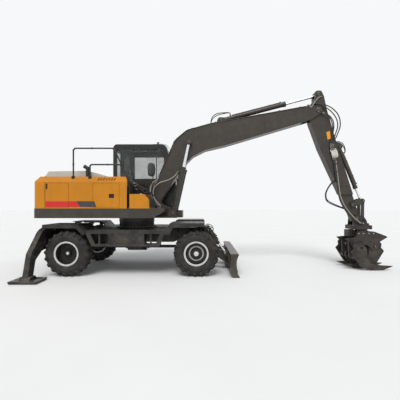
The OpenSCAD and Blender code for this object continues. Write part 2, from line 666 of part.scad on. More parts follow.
cab_mid = (cab_y0 + cab_y1) / 2;
cab_floor = deck_z + 6 + cab_t;
module seat() color([0.15, 0.15, 0.16]) {
    block([-330, cab_mid - 200, cab_floor], [130, cab_mid + 200, 1850]);
    along_y(cab_mid - 240, cab_mid + 240, [[-380, 1850], [-380, 1990, 50], [150, 1990, 50],
        [150, 1850, 30]]);
    along_y(cab_mid - 230, cab_mid + 230, [[-380, 1990], [-500, 2640, 60], [-370, 2680, 60], [-250, 1990]]);
}
module controls() color([0.13, 0.13, 0.14]) {
    for (y = [cab_mid - 330, cab_mid + 255]) block([-250, y, cab_floor], [260, y + 75, 2080]);
    for (y = [cab_mid - 292, cab_mid + 292]) bar([200, y, 2080], [230, y, 2300], 16);
    difference() {
        bar([650, cab_mid, cab_floor - 40], [500, cab_mid, 2220], 45);
        block([540, cab_mid - 60, cab_floor - 100], [760, cab_mid + 60, cab_floor]);
    }
    translate([500, cab_mid, 2220]) rotate([0, -20, 0]) rotate_extrude() translate([180, 0])
        circle(r = 16, $fn = 24);
    translate([500, cab_mid, 2220]) rotate([0, -20, 0]) cube([26, 360, 20], center = true);
}

module boom() color(graphite) difference() {
    union() {
        along_y(-boom_half_w, boom_half_w, [
            [345, 1760, 90], [1030, 3290, 300], [1330, 3540, 250], [1960, 3715, 400], [4620, 4190],
            [4800, 4180, 80], [4830, 4040, 80], [4740, 3955, 80], [4500, 3820], [2300, 3165, 500],
            [1800, 3050, 250], [1480, 2890, 250], [1180, 2590, 250], [600, 1650, 90], [420, 1620, 90]]);
        both_sides() rod_y(boom_lift, boom_half_w, boom_cyl_y - 46, 75);
        both_sides() along_y(barrel_r + 8, barrel_r + 32, [
            [2060, 3700], [2130, 3910, 70], [2270, 3910, 70], [2420, 3780]]);
        both_sides() rod_y(push_foot, 0, barrel_r + 40, 34);
        both_sides() rod_y(boom_tip, arm_half_w - 80, boom_half_w + 12, pin_r);
        both_sides() rod_y(boom_tip, boom_half_w, boom_half_w + 12, 75);
    }
    rod_y(boom_foot, -boom_half_w - 1, boom_half_w + 1, pin_r + fit_gap);
    difference() {
        rod_y(boom_tip, -arm_half_w - side_gap, arm_half_w + side_gap, 515);
        rod_y(boom_tip, -boom_half_w, boom_half_w, pin_r);
    }
}
module boom_barrels() color(graphite) both_sides() on_line(lift_foot, boom_lift, boom_cyl_y)
    cylinder_tube(1195, barrel_r, rod_r + fit_gap, 2 * (lift_lug_y[0] - boom_cyl_y) - 8,
        pin_r - 4 + fit_gap);
module boom_rods() color(chrome) both_sides() on_line(lift_foot, boom_lift, boom_cyl_y)
    cylinder_rod(norm(boom_lift - lift_foot), 1150, rod_r, 82, 68);

module arm() color(graphite) difference() {
    union() {
        difference() {
            along_y(-arm_half_w, arm_half_w, [
                [4640, 4590, 60], [4800, 4590, 70], [4870, 4440, 100], [4935, 4120, 300], [5030, 3800, 300],
                [5155, 3360, 300], [5805, 1330, 90], [5770, 1170, 90], [5630, 1170, 90], [5560, 1380],
                [4770, 3080, 400], [4510, 3790, 120], [4560, 4070, 200], [4630, 4330]]);
            // The lower end is narrower, for the rocker and the link
            both_sides() block([5200, 80, 1100], [6100, arm_half_w + 1, 1900]);
        }
        both_sides() along_y(60, 80, [[5180, 3300], [5300, 3240, 60], [5390, 3150, 60], [5320, 3060, 50],
            [5230, 3000]]);
        both_sides() rod_y(tool_foot, 0, 88, 30);
        both_sides() rod_y(rocker_pin, 0, 146, 34);
        both_sides() rod_y(tool_pin, 0, 150, pin_r - 4);
    }
    rod_y(boom_tip, -arm_half_w - 1, arm_half_w + 1, pin_r + fit_gap);
    // Slot for the rod's eye of the arm cylinder
    along_y(-52, 52, [[4400, 4360], [4700, 4400, 40], [4850, 4480, 40], [4900, 4700], [4400, 4700]]);
}
module arm_barrel() color(graphite) on_line(push_foot, arm_push, 0)
    cylinder_tube(1755, barrel_r, rod_r + fit_gap, 130, 34 + fit_gap);
module arm_rod() color(chrome) on_line(push_foot, arm_push, 0)
    cylinder_rod(norm(arm_push - push_foot), 1400, rod_r, 84, 62);
module tool_barrel() color(graphite) on_line(tool_foot, link_top, 0)
    cylinder_tube(1179, 52, 30 + fit_gap, 110, 30 + fit_gap);
module tool_rod() color(chrome) on_line(tool_foot, link_top, 0)
    cylinder_rod(norm(link_top - tool_foot), 900, 30, 80, 52);

module rocker() color(graphite) both_sides() difference() {
    union() {
        along_y(116, 138, [
            [5540, 1590, 50], [5555, 1690, 50], [5870, 1805, 60], [5950, 1730, 60], [5890, 1670, 50],
                [5640, 1570, 50]]);
        rod_y(link_top, 62, 144, 30);
    }
    rod_y(rocker_pin, 100, 150, 34 + fit_gap);
}
module tool_link() color(graphite) difference() {
    union() {
        both_sides() along_y(88, 110, [
            [5830, 1780, 40], [5930, 1780, 40], [5920, 1600, 200], [5915, 1200, 38], [5825, 1200, 38],
                [5838, 1600, 200]]);
        rod_y(link_low, -110, 110, 38);
    }
    both_sides() rod_y(link_top, 80, 120, 30 + fit_gap);
}

// The grapple hangs about the vertical through grapple_x; claw points are measured from there
grapple_x = 5890;
claw_pin = [230, 560];
lever_r = 150;
lever = claw_pin + lever_r * [cos(20), sin(20)];
module grapple_hanger() color(black) difference() {
    union() {
        block([5560, -190, 1000], [6080, 190, 1100]);
        both_sides() along_y(116, 142, [
            [5600, 1090], [5625, 1330, 70], [5710, 1385, 70], [5900, 1320, 60], [5960, 1230, 60],
                [6010, 1090]]);
    }
    both_sides() rod_y(tool_pin, 100, 160, pin_r - 4 + fit_gap);
    both_sides() rod_y(link_low, 100, 160, 26);
}
// Turning head of the grapple: its motor, and side plates whose shoulders reach out over the claws
module grapple_rotor() color(black) translate([grapple_x, 0, 0]) {
    translate([0, 0, 940]) cylinder(h = 60 - fit_gap, r = 150, $fn = 64);
    block([-220, -262, 800], [220, 262, 945]);
    block([-400, -95, 815], [-215, 95, 985]);
    both_sides() along_y(236, 262, [
        [-220, 944], [-260, 800], [-545, 772, 8], [-400, 640, 60], [-325, 490, 70], [-150, 480, 80],
            [0, 640, 80],
        [150, 480, 80], [325, 490, 70], [350, 690, 60], [535, 800, 8], [520, 830, 8], [220, 944]]);
    both_sides() for (s = [-1, 1]) rod_y([s * claw_pin[0], claw_pin[1]], 62, 272, 32);
}

// Outlines of a claw's plates, drawn right of the middle, tines curving to the left: the arm from
// its pin to the cross tube, a low tine, and a leaf, which is a tine with a tall back
cross_tube = [330, 300];
claw_arm = [
    [165, 640, 60], [300, 700, 60], [430, 660, 50], [425, 540, 60], [400, 250, 60], [280, 230, 40],
        [155, 500, 60]];
tine_point = [[250, 90, 150], [0, 5, 300], [-300, 12, 300], [-565, 110, 5], [-290, 125, 300]];
low_tine = [[430, 420, 40], [400, 250, 60], each tine_point, [-20, 160, 200], [150, 240, 100],
    [260, 420, 40]];
leaf = [
    [420, 650, 60], [395, 540, 30], [475, 450, 15], each tine_point,
    [-20, 165, 60], [75, 330, 150], [95, 560, 60], [290, 705, 60]];

// One claw: its arms, leaves and low tines at their places along the cross tube that carries them
module claw(arm_y, leaf_y, low_y) color(black) difference() {
    union() {
        for (y = [-arm_y, arm_y]) along_y(y - tine_t / 2, y + tine_t / 2, claw_arm);
        for (y = [-leaf_y, leaf_y]) along_y(y - tine_t / 2, y + tine_t / 2, leaf);
        for (y = low_y) along_y(y - tine_t / 2, y + tine_t / 2, low_tine);
        rod_y(cross_tube, -leaf_y, leaf_y, 48);
        both_sides() rod_y(claw_pin, arm_y - tine_t / 2 - 15, arm_y + tine_t / 2 + 15, 62);
    }
    rod_y(claw_pin, -leaf_y - 100, leaf_y + 100, 32 + fit_gap);
}
module rear_claw() translate([grapple_x, 0, 0]) mirror([1, 0, 0]) {
    claw(190, 450, [0]);
    color(black) rod_y(lever, -191, 191, 24);
}
module front_claw() translate([grapple_x, 0, 0]) {
    claw(95, 205, []);
    color(black) both_sides() rod_y(lever, 52, 95, 40);
}
lever_a = [grapple_x - lever[0], lever[1]];
lever_b = [grapple_x + lever[0], lever[1]];
module claw_barrel() color(black) on_line(lever_a, lever_b, 0) cylinder_tube(410, 40, 22 + fit_gap, 76,
    24 + fit_gap);
module claw_rod() color(chrome) on_line(lever_a, lever_b, 0) cylinder_rod(2 * lever[0], 392, 22, 70, 38);

chassis_frame();
mudguards();
side_steps();
rear_axle();
front_axle();
drive_line();
knuckle();  // right_knuckle
mirror([0, 1, 0]) knuckle();  // left_knuckle
tyre_at(rear_axle_x, -wheel_y);  // rear_right_tyre
rear_rim(-1);  // rear_right_rim
tyre_at(rear_axle_x, wheel_y);  // rear_left_tyre
rear_rim(1);  // rear_left_rim
tyre_at(front_axle_x, -wheel_y);  // front_right_tyre
front_rim(-1);  // front_right_rim
tyre_at(front_axle_x, wheel_y);  // front_left_tyre
front_rim(1);  // front_left_rim
dozer_blade();
blade_barrels();
blade_rods();
leg();  // right_leg
leg_barrel();  // right_leg_barrel
leg_rod();  // right_leg_rod
mirror([0, 1, 0]) leg();  // left_leg
mirror([0, 1, 0]) leg_barrel();  // left_leg_barrel
mirror([0, 1, 0]) leg_rod();  // left_leg_rod
upper_frame();
counterweight();
hood();
front_tank();
bonnet();
service_door(rear_door, -1, [-1785, 1980], [-1745, 2100]);  // service_door_rear
service_door(front_door, -1, [-372, 1780], [-255, 1870]);  // service_door_front
service_door(left_door, 1, [-885, 1980], [-845, 2100]);  // service_door_left
engine();
exhaust();
handrails();
cab_shell();
cab_glass();
cab_door();
door_glass();
seat();
controls();
boom();
boom_barrels();
boom_rods();
arm();
arm_barrel();
arm_rod();
tool_barrel();
tool_rod();
rocker();
tool_link();
grapple_hanger();
grapple_rotor();
rear_claw();
front_claw();
claw_barrel();
claw_rod();
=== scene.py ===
"""Wheeled excavator: finishes, tyres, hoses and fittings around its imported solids, in metres."""

import json
import math

import bmesh
import bpy
import numpy as np
from bpy.props import FloatProperty, FloatVectorProperty, IntProperty, PointerProperty
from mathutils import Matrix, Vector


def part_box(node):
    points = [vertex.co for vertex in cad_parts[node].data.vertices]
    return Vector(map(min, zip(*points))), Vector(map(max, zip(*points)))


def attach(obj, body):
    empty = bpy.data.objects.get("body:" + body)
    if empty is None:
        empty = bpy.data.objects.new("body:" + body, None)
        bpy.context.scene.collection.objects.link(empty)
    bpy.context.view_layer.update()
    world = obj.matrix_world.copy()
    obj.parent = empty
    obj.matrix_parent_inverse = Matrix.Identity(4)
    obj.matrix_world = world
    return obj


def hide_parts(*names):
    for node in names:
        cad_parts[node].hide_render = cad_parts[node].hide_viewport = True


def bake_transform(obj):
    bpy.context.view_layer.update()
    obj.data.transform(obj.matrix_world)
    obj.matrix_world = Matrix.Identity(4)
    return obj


bl_info = {
    "name": "Wheeled Excavator",
    "version": (1, 0, 0),
    "blender": (4, 5, 0),
    "location": "View3D > Sidebar > Excavator",
    "description": "Finishes, tyres, hoses and fittings of a wheeled excavator",
    "category": "Add Mesh",
}

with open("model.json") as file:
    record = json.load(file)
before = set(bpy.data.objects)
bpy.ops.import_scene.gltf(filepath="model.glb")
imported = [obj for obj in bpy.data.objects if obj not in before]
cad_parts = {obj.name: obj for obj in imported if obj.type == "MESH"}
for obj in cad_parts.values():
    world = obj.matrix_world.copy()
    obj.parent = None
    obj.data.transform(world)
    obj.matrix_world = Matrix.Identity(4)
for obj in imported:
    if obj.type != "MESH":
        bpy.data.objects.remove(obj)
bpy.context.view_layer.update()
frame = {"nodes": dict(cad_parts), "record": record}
NODES = frame["nodes"]

# Wheels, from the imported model
REAR_AXLE = np.array(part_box("rear_right_tyre")).mean(axis=0)
FRONT_AXLE = np.array(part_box("front_right_tyre")).mean(axis=0)
TYRE_LOW, TYRE_HIGH = (np.array(c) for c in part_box("rear_right_tyre"))
TYRE_WIDTH = float(TYRE_HIGH[1] - TYRE_LOW[1])
TYRE_RADIUS = float(TYRE_HIGH[2] - TYRE_LOW[2]) / 2
RIM_RADIUS = 0.255
AXLE_Z = REAR_AXLE[2]
WHEEL_Y = abs(float(REAR_AXLE[1]))
HOOD_Y = abs(float(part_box("hood")[0][1]))
RAIL_Y = float(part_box("handrails")[0][1]) + 0.030
CAB_IN, CAB_OUT = float(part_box("cab_shell")[0][1]), float(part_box("cab_shell")[1][1])
CAB_MID = (CAB_IN + CAB_OUT) / 2
DOOR_WINDOW = [(-0.34, 2.15), (-0.34, 3.07), (0.55, 3.07), (0.55, 2.15)]
WHEELS = {
    "rear_right": (REAR_AXLE[0], -1),
    "rear_left": (REAR_AXLE[0], 1),
    "front_right": (FRONT_AXLE[0], -1),
    "front_left": (FRONT_AXLE[0], 1),
}
ORIGIN = (0, 0, 0)
SIDES = ((-1, "right"), (1, "left"))

# Pins as (x, z), under the names they have in part.scad; a barrel's foot is where its cylinder is held
BOOM_FOOT, BOOM_LIFT, BOOM_TIP = (0.470, 1.730), (1.380, 3.220), (4.710, 4.070)
LIFT_FOOT, PUSH_FOOT, ARM_PUSH = (0.980, 1.420), (2.200, 3.840), (4.730, 4.500)
TOOL_FOOT, TOOL_PIN, ROCKER_PIN, LINK_TOP = (5.300, 3.150), (5.710, 1.280), (5.600, 1.630), (5.880, 1.740)
BLADE_PIN, BLADE_FOOT, BLADE_EYE = (1.880, 0.520), (1.865, 1.010), (2.330, 0.400)
LEG_PIN, LEG_FOOT, LEG_EYE, LEG_X = (0.480, 0.740), (0.110, 1.010), (0.860, 1.000), -1.932
GRAPPLE_X, CLAW_PIN, LEVER = 5.890, (0.230, 0.560), (0.371, 0.6113)
BOOM_SIDE, LIFT_Y = 0.1705, 0.270


def at_y(pin, y=0.0):
    """The pin's place in space at y."""
    return pin[0], y, pin[1]


def angles(count):
    """Angles evenly spread over a full turn."""
    return np.arange(count) * 2 * math.pi / count


# Surfaces


def grid_part(points, wrap_rows=False, wrap_columns=False):
    """Surface over a grid of points[i, j]: each cell is a face, and a wrapped direction closes on itself."""
    rows, columns = points.shape[:2]
    i = np.arange(rows if wrap_rows else rows - 1)[:, None]
    j = np.arange(columns if wrap_columns else columns - 1)[None, :]
    after_i, after_j = (i + 1) % rows, (j + 1) % columns
    cells = [i * columns + j, i * columns + after_j, after_i * columns + after_j, after_i * columns + j]
    return points.reshape(-1, 3), np.stack(cells, -1).reshape(-1, 4).tolist()


def closed_part(rings):
    """Closed rings of points[i, j] joined into a tube; one face fills its first ring and one its last."""
    points, faces = grid_part(rings, wrap_columns=True)
    count = rings.shape[1]
    faces.append(list(range(count))[::-1])
    faces.append(list(range(len(points) - count, len(points))))
    return points, faces


def mirrored(part):
    """The part reflected in the middle plane: y changes its sign, and each face is read backwards."""
    points, faces = part
    return points * np.array([1, -1, 1]), [face[::-1] for face in faces]


def both_sides(parts):
    """The parts and their reflections."""
    return parts + [mirrored(part) for part in parts]


def repeated(part, places):
    """A copy of the part at each place: the place is added to every point."""
    points, faces = part
    return [(points + np.asarray(place, float), faces) for place in places]


def turned(part, centre, axis, degrees):
    """The part turned about an axis through centre, by Rodrigues' rotation."""
    points, faces = part
    a = np.asarray(axis, float) / np.linalg.norm(axis)
    c, s = math.cos(math.radians(degrees)), math.sin(math.radians(degrees))
    p = points - np.asarray(centre, float)
    spun = p * c + np.cross(a, p) * s + np.outer(p @ a, a) * (1 - c)
    return spun + np.asarray(centre, float), faces


def smooth_line(points, steps=8):
    """Cubic curve through the points, whose slope at a point is half the chord between its neighbours."""
    p = np.asarray(points, float)
    p = np.vstack([2 * p[0] - p[1], p, 2 * p[-1] - p[-2]])
    t = np.linspace(0, 1, steps, endpoint=False)[None, :, None]
    a, b, c, d = (p[k:len(p) - 3 + k, None, :] for k in range(4))
    line = 0.5 * (2 * b + (c - a) * t + (2 * a - 5 * b + 4 * c - d) * t**2 + (3 * b - a - 3 * c + d) * t**3)
    return np.vstack([line.reshape(-1, 3), p[-2]])


def carried(profile, path):
    """Flat profile carried along a path: it stands square to the path and turns no more than the path does."""
    profile, path = np.asarray(profile, float), np.asarray(path, float)
    along = np.gradient(path, axis=0)
    along /= np.linalg.norm(along, axis=1)[:, None]
    side = np.cross(along[0], [0.13, 0.21, 1.0])
    sides = []
    for direction in along:
        side = side - direction * (side @ direction)
        side = side / np.linalg.norm(side)
        sides.append(side)
    sides = np.array(sides)
    tops = np.cross(sides, along)
    return path[:, None] + profile[None, :, :1] * sides[:, None] + profile[None, :, 1:] * tops[:, None]


def circle(radius, count=12, start=0.0):
    """Points of a circle, counted round from the start angle."""
    a = start + np.linspace(0, 2 * np.pi, count, endpoint=False)
    return np.stack([np.cos(a), np.sin(a)], -1) * radius


def tube(points, radius, steps=8, count=10):
    """Round tube along the smooth line through the points."""
    path = smooth_line(points, steps) if steps else np.asarray(points, float)
    return closed_part(carried(circle(radius, count), path))


# The plane across each axis, as two directions, and the axis itself
AXES = {
    "x": ([0, 1, 0], [0, 0, 1], [1, 0, 0]),
    "y": ([1, 0, 0], [0, 0, 1], [0, 1, 0]),
    "z": ([1, 0, 0], [0, 1, 0], [0, 0, 1]),
}


def spun(profile, centre, axis, count):
    """Points[i, j] of a profile of (radius, distance along the axis), turned about the axis through centre."""
    first, second, third = (np.array(v, float) for v in AXES[axis])
    profile = np.asarray(profile, float)
    a = np.linspace(0, 2 * np.pi, count, endpoint=False)
    spokes = np.cos(a)[:, None] * first + np.sin(a)[:, None] * second
    rings = profile[:, 0, None, None] * spokes[None] + profile[:, 1, None, None] * third
    return rings + np.asarray(centre, float)


def lathed(profile, centre, axis="y", count=32):
    """Open profile of (radius, distance along the axis) turned about the axis, with its ends filled."""
    return closed_part(spun(profile, centre, axis, count))


def ring_lathed(profile, centre, axis="y", count=48):
    """Closed profile of (radius, distance along the axis) turned about the axis, as for a tyre or a hoop."""
    return grid_part(spun(profile, centre, axis, count), wrap_rows=True, wrap_columns=True)


def around(centre, radius, turns, axis="y"):
    """Places on a circle about the axis through centre, at the given angles."""
    first, second, _ = (np.array(v, float) for v in AXES[axis])
    return [np.asarray(centre, float) + radius * (math.cos(a) * first + math.sin(a) * second) for a in turns]


def inset(outline, distance):
    """Outline moved inwards: each corner slides along the bisector of its two edges."""
    outline = np.asarray(outline, float)
    before, after = outline - np.roll(outline, 1, axis=0), np.roll(outline, -1, axis=0) - outline
    area = (outline[:, 0] * np.roll(outline[:, 1], -1) - np.roll(outline[:, 0], -1) * outline[:, 1]).sum()
    turn = 1.0 if area > 0 else -1.0
    normals = [np.stack([-v[:, 1], v[:, 0]], -1) / np.linalg.norm(v, axis=1)[:, None] * turn for v in (before, after)]
    spread = 1 + (normals[0] * normals[1]).sum(axis=1)
    return outline + (normals[0] + normals[1]) / np.maximum(spread, 0.3)[:, None] * distance


def slab(outline, low, high, axis, bevel=0.004):
    """Flat outline drawn out along an axis from low to high, both its rims cut back by the bevel."""
    first, second, third = (np.array(v, float) for v in AXES[axis])
    outline = np.asarray(outline, float)
    small = inset(outline, bevel)
    rings = [(small, low), (outline, low + bevel), (outline, high - bevel), (small, high)]
    return closed_part(np.array([
        flat[:, :1] * first + flat[:, 1:] * second + depth * third for flat, depth in rings]))


def sheet(outline, y, out, bevel=0.0003):
    """Thin plate from y to y + out, over its outline in XZ."""
    low, high = sorted((y, y + out))
    return slab(outline, low, high, "y", bevel)


def rectangle(a0, a1, b0, b1, corner=0.0, steps=4):
    """Rectangle with round corners, each a quarter circle of a few chords."""
    if corner <= 0:
        return np.array([[a0, b0], [a1, b0], [a1, b1], [a0, b1]], float)
    centres = [
        (a1 - corner, b0 + corner), (a1 - corner, b1 - corner), (a0 + corner, b1 - corner), (a0 + corner, b0 + corner)
    ]
    angles = np.linspace(0, np.pi / 2, steps)
    return np.vstack([
        np.array(c) + corner * np.stack([np.cos(angles + q), np.sin(angles + q)], -1)
        for c, q in zip(centres, (-np.pi / 2, 0, np.pi / 2, np.pi))
    ])


def bolt_head(radius, height, axis="y", side=-1):
    """Hexagon head on a washer, at the origin, standing out along the axis to the given side."""
    washer = lathed([(radius * 1.5, 0), (radius * 1.5, side * height * 0.25)], (0, 0, 0), axis, 14)
    head = lathed([
        (radius, side * height * 0.2), (radius, side * height * 0.9), (radius * 0.85, side * height)
    ], (0, 0, 0), axis, 6)
    return [washer, head]


def bolts(places, radius=0.009, height=0.009, axis="y", side=-1):
    """Bolt heads at all the places."""
    return [copy for part in bolt_head(radius, height, axis, side) for copy in repeated(part, places)]


def add_piece(name, groups, body=None, crease=32):
    """Joins the parts into one mesh object at the origin and lets it ride on the body; groups is finish: parts."""
    points, faces, kinds, start = [], [], [], 0
    for kind, parts in enumerate(groups.values()):
        for vertices, cells in parts:
            points.append(vertices)
            faces += [[index + start for index in cell] for cell in cells]
            kinds += [kind] * len(cells)
            start += len(vertices)
    mesh = bpy.data.meshes.new(name)
    mesh.from_pydata(np.vstack(points).tolist(), [], faces)
    mesh.polygons.foreach_set("material_index", kinds)
    work = bmesh.new()
    work.from_mesh(mesh)
    bmesh.ops.recalc_face_normals(work, faces=work.faces)
    work.to_mesh(mesh)
    work.free()
    mesh.shade_smooth()
    mesh.set_sharp_from_angle(angle=math.radians(crease))
    for finish in groups:
        mesh.materials.append(scene_finishes()[finish])
    piece = bpy.data.objects.new(name, mesh)
    bpy.context.scene.collection.objects.link(piece)
    if body:
        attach(piece, body)
    return piece


# Finishes


def fill(tree, node, inputs):
    """Gives each of the node's inputs a value or a link."""
    for key, value in inputs.items():
        if isinstance(value, bpy.types.NodeSocket):
            tree.links.new(value, node.inputs[key])
        else:
            node.inputs[key].default_value = value


def shader_node(tree, kind, inputs=None, **settings):
    """A node of the kind, with its settings, and with each input given a value or a link."""
    made = tree.nodes.new(kind)
    for key, value in settings.items():
        setattr(made, key, value)
    fill(tree, made, inputs or {})
    return made


def new_finish(name):
    """An empty finish: its material, tree, shader and Object coordinates."""
    finish = bpy.data.materials.new(name)
    finish.use_nodes = True
    tree = finish.node_tree
    shader = tree.nodes["Principled BSDF"]
    place = shader_node(tree, "ShaderNodeTexCoord").outputs["Object"]
    return finish, tree, shader, place


def noise(tree, place, scale, detail=4.0, stretch=None, roughness=0.55):
    """Noise over the place, from 0 to 1; a stretch scales it along each axis."""
    if stretch:
        place = shader_node(tree, "ShaderNodeMapping", {"Vector": place, "Scale": stretch}).outputs["Vector"]
    return shader_node(tree, "ShaderNodeTexNoise", {
        "Vector": place, "Scale": scale, "Detail": detail, "Roughness": roughness}).outputs["Fac"]


def ramp(tree, value, low, high, to_low=0.0, to_high=1.0):
    """Value taken from the range low..high to the range to_low..to_high, and held there outside it."""
    return shader_node(tree, "ShaderNodeMapRange", {
        "Value": value, "From Min": low, "From Max": high, "To Min": to_low, "To Max": to_high}).outputs["Result"]


def multiply(tree, a, b):
    """Product of two values."""
    return shader_node(tree, "ShaderNodeMath", {0: a, 1: b}, operation="MULTIPLY").outputs[0]


def mixed(tree, share, a, b):
    """Colour a turned into colour b by the share."""
    made = shader_node(tree, "ShaderNodeMix", data_type="RGBA")
    sockets = [s for s in made.inputs if s.enabled]
    for target, value in zip(sockets, (share, a, b)):
        if isinstance(value, bpy.types.NodeSocket):
            tree.links.new(value, target)
        else:
            target.default_value = value
    return next(s for s in made.outputs if s.enabled)


def greater(tree, a, b):
    """The greater of two values."""
    return shader_node(tree, "ShaderNodeMath", {0: a, 1: b}, operation="MAXIMUM").outputs[0]


def bump(tree, height, strength, distance):
    """Normal of a surface raised by the height, at most by the distance in metres."""
    return shader_node(
        tree, "ShaderNodeBump", {"Height": height, "Strength": strength, "Distance": distance}).outputs["Normal"]


def line_distance(tree, place, point, keep):
    """Distance from a line through the point: keep is 0 along the line and 1 across it."""
    about = shader_node(tree, "ShaderNodeMapping", {
        "Vector": place, "Location": tuple(-p * k for p, k in zip(point, keep)), "Scale": keep}).outputs["Vector"]
    return shader_node(tree, "ShaderNodeVectorMath", {0: about}, operation="LENGTH").outputs["Value"]


def rgba(colour):
    """Colour with full opacity."""
    return (*colour[:3], 1.0)


def shade(colour, factor):
    """Colour made darker or lighter by the factor."""
    return tuple(min(1.0, c * factor) for c in colour[:3]) + (1.0,)


DUST = (0.36, 0.30, 0.235, 1.0)
PRIMER = (0.33, 0.31, 0.30, 1.0)
ROAD_DUST = (0.19, 0.165, 0.14, 1.0)
WHEEL_DUST = (0.36, 0.31, 0.26, 1.0)
CHROME = (0.82, 0.83, 0.84)


def worn_paint(name, colour, roughness, dust=0.25, chips=0.0, coat=0.0):
    """Sprayed paint: cloudy tone, streaks down the sides, dust that gathers low and on ledges, and chips to primer."""
    finish, tree, shader, place = new_finish(name)
    tone = mixed(tree, ramp(tree, noise(tree, place, 1.7, 5), 0.35, 0.7), rgba(colour), shade(colour, 0.86))
    streak = ramp(tree, noise(tree, place, 9, 3, (1, 1, 0.08)), 0.5, 0.8, 0, 0.35)
    tone = mixed(tree, streak, tone, shade(colour, 0.72))
    level = shader_node(tree, "ShaderNodeSeparateXYZ", {0: place}).outputs["Z"]
    normal = shader_node(tree, "ShaderNodeNewGeometry").outputs["Normal"]
    facing = shader_node(tree, "ShaderNodeSeparateXYZ", {0: normal}).outputs["Z"]
    cloud = ramp(tree, noise(tree, place, 5.5, 6), 0.38, 0.72)
    low = multiply(tree, ramp(tree, level, 0.0, 1.5, dust * 1.6, dust * 0.35), cloud)
    ledge = multiply(tree, ramp(tree, facing, 0.3, 1.0, 0, dust * 1.3), cloud)
    tone = mixed(tree, low, tone, DUST)
    tone = mixed(tree, ledge, tone, DUST)
    if chips:
        spots = ramp(tree, noise(tree, place, 46, 3), 0.68, 0.71, 0, chips)
        tone = mixed(tree, spots, tone, PRIMER)
    gloss = ramp(tree, noise(tree, place, 14, 4), 0.3, 0.8, roughness * 0.85, min(1.0, roughness * 1.35))
    fill(tree, shader, {
        "Base Color": tone, "Roughness": gloss, "Normal": bump(tree, noise(tree, place, 260, 2), 0.08, 0.001),
        "Coat Weight": coat, "Coat Roughness": 0.12, "Specular IOR Level": 0.3})
    return finish


def rubber(name, colour, dust=0.5):
    """Moulded rubber: fine grain, brown road dust in patches and in the low places."""
    finish, tree, shader, place = new_finish(name)
    cloud = ramp(tree, noise(tree, place, 7, 6), 0.36, 0.74, 0, dust)
    tone = mixed(tree, cloud, rgba(colour), ROAD_DUST)
    gloss = ramp(tree, noise(tree, place, 30, 3), 0.3, 0.8, 0.68, 0.95)
    fill(tree, shader, {
        "Base Color": tone, "Roughness": gloss, "Normal": bump(tree, noise(tree, place, 320, 3), 0.25, 0.002),
        "Specular IOR Level": 0.35})
    return finish


def bare_metal(name, colour, roughness, streaks=0.08):
    """Polished or machined metal: fine lines along it and faint oil marks."""
    finish, tree, shader, place = new_finish(name)
    tone = mixed(tree, ramp(tree, noise(tree, place, 11, 4), 0.4, 0.8, 0, 0.5), rgba(colour), shade(colour, 0.8))
    gloss = ramp(tree, noise(tree, place, 60, 3, (1, 1, 0.2)), 0.3, 0.75, roughness, roughness + streaks)
    fill(tree, shader, {"Base Color": tone, "Roughness": gloss, "Metallic": 1.0})
    return finish


def tinted_glass(name, colour, alpha):
    """Tinted safety glass: clear with a grey-green cast, and a thin film of dust."""
    finish, tree, shader, place = new_finish(name)
    film = ramp(tree, noise(tree, place, 3.5, 5), 0.3, 0.8, alpha * 0.85, alpha * 1.3)
    tone = mixed(tree, ramp(tree, noise(tree, place, 22, 4), 0.5, 0.8), rgba(colour), shade(colour, 1.25))
    fill(tree, shader, {"Alpha": film, "Base Color": tone, "Roughness": 0.06, "IOR": 1.5})
    return finish


def moulded_plastic(name, colour, roughness=0.55):
    """Grained black plastic: a fine leather-like bump and a slightly uneven gloss."""
    finish, tree, shader, place = new_finish(name)
    tone = mixed(tree, ramp(tree, noise(tree, place, 6, 5), 0.4, 0.75, 0, 0.6), rgba(colour), shade(colour, 1.5))
    gloss = ramp(tree, noise(tree, place, 25, 3), 0.3, 0.8, roughness * 0.9, roughness * 1.2)
    cells = shader_node(tree, "ShaderNodeTexVoronoi", {"Vector": place, "Scale": 420.0}).outputs["Distance"]
    fill(tree, shader, {"Base Color": tone, "Roughness": gloss, "Normal": bump(tree, cells, 0.25, 0.0008)})
    return finish


def woven_cloth(name, colour):
    """Woven seat cloth: crossing threads in the bump, soft sheen, worn lighter in patches."""
    finish, tree, shader, place = new_finish(name)
    waves = {"Vector": place, "Scale": 160.0, "Distortion": 0.6}
    threads = [shader_node(tree, "ShaderNodeTexWave", waves, bands_direction=axis).outputs["Fac"] for axis in "XZ"]
    weave = multiply(tree, *threads)
    tone = mixed(tree, ramp(tree, weave, 0.0, 0.8), shade(colour, 0.7), shade(colour, 1.35))
    tone = mixed(tree, ramp(tree, noise(tree, place, 8, 4), 0.5, 0.8, 0, 0.35), tone, shade(colour, 1.9))
    fill(tree, shader, {
        "Base Color": tone, "Normal": bump(tree, weave, 0.4, 0.001), "Roughness": 0.9, "Sheen Weight": 0.25})
    return finish


def rod_finish(name, colour, eye, reach, along):
    """Chrome rod whose eye is painted: paint within the reach of the pin's line, chrome beyond it."""
    finish = bare_metal(name, CHROME, 0.1)
    tree = finish.node_tree
    shader = tree.nodes["Principled BSDF"]
    place = shader_node(tree, "ShaderNodeTexCoord").outputs["Object"]
    radius = line_distance(tree, place, eye, (1, 0, 1) if along == "y" else (0, 1, 1))
    share = ramp(tree, radius, reach, reach + 0.001)
    under = shader.inputs["Base Color"].links[0].from_socket
    tone = mixed(tree, ramp(tree, noise(tree, place, 9, 4), 0.4, 0.7), rgba(colour), shade(colour, 0.8))
    fill(tree, shader, {
        "Base Color": mixed(tree, share, tone, under), "Metallic": share,
        "Roughness": ramp(tree, radius, reach, reach + 0.001, 0.45, 0.12)})
    return finish


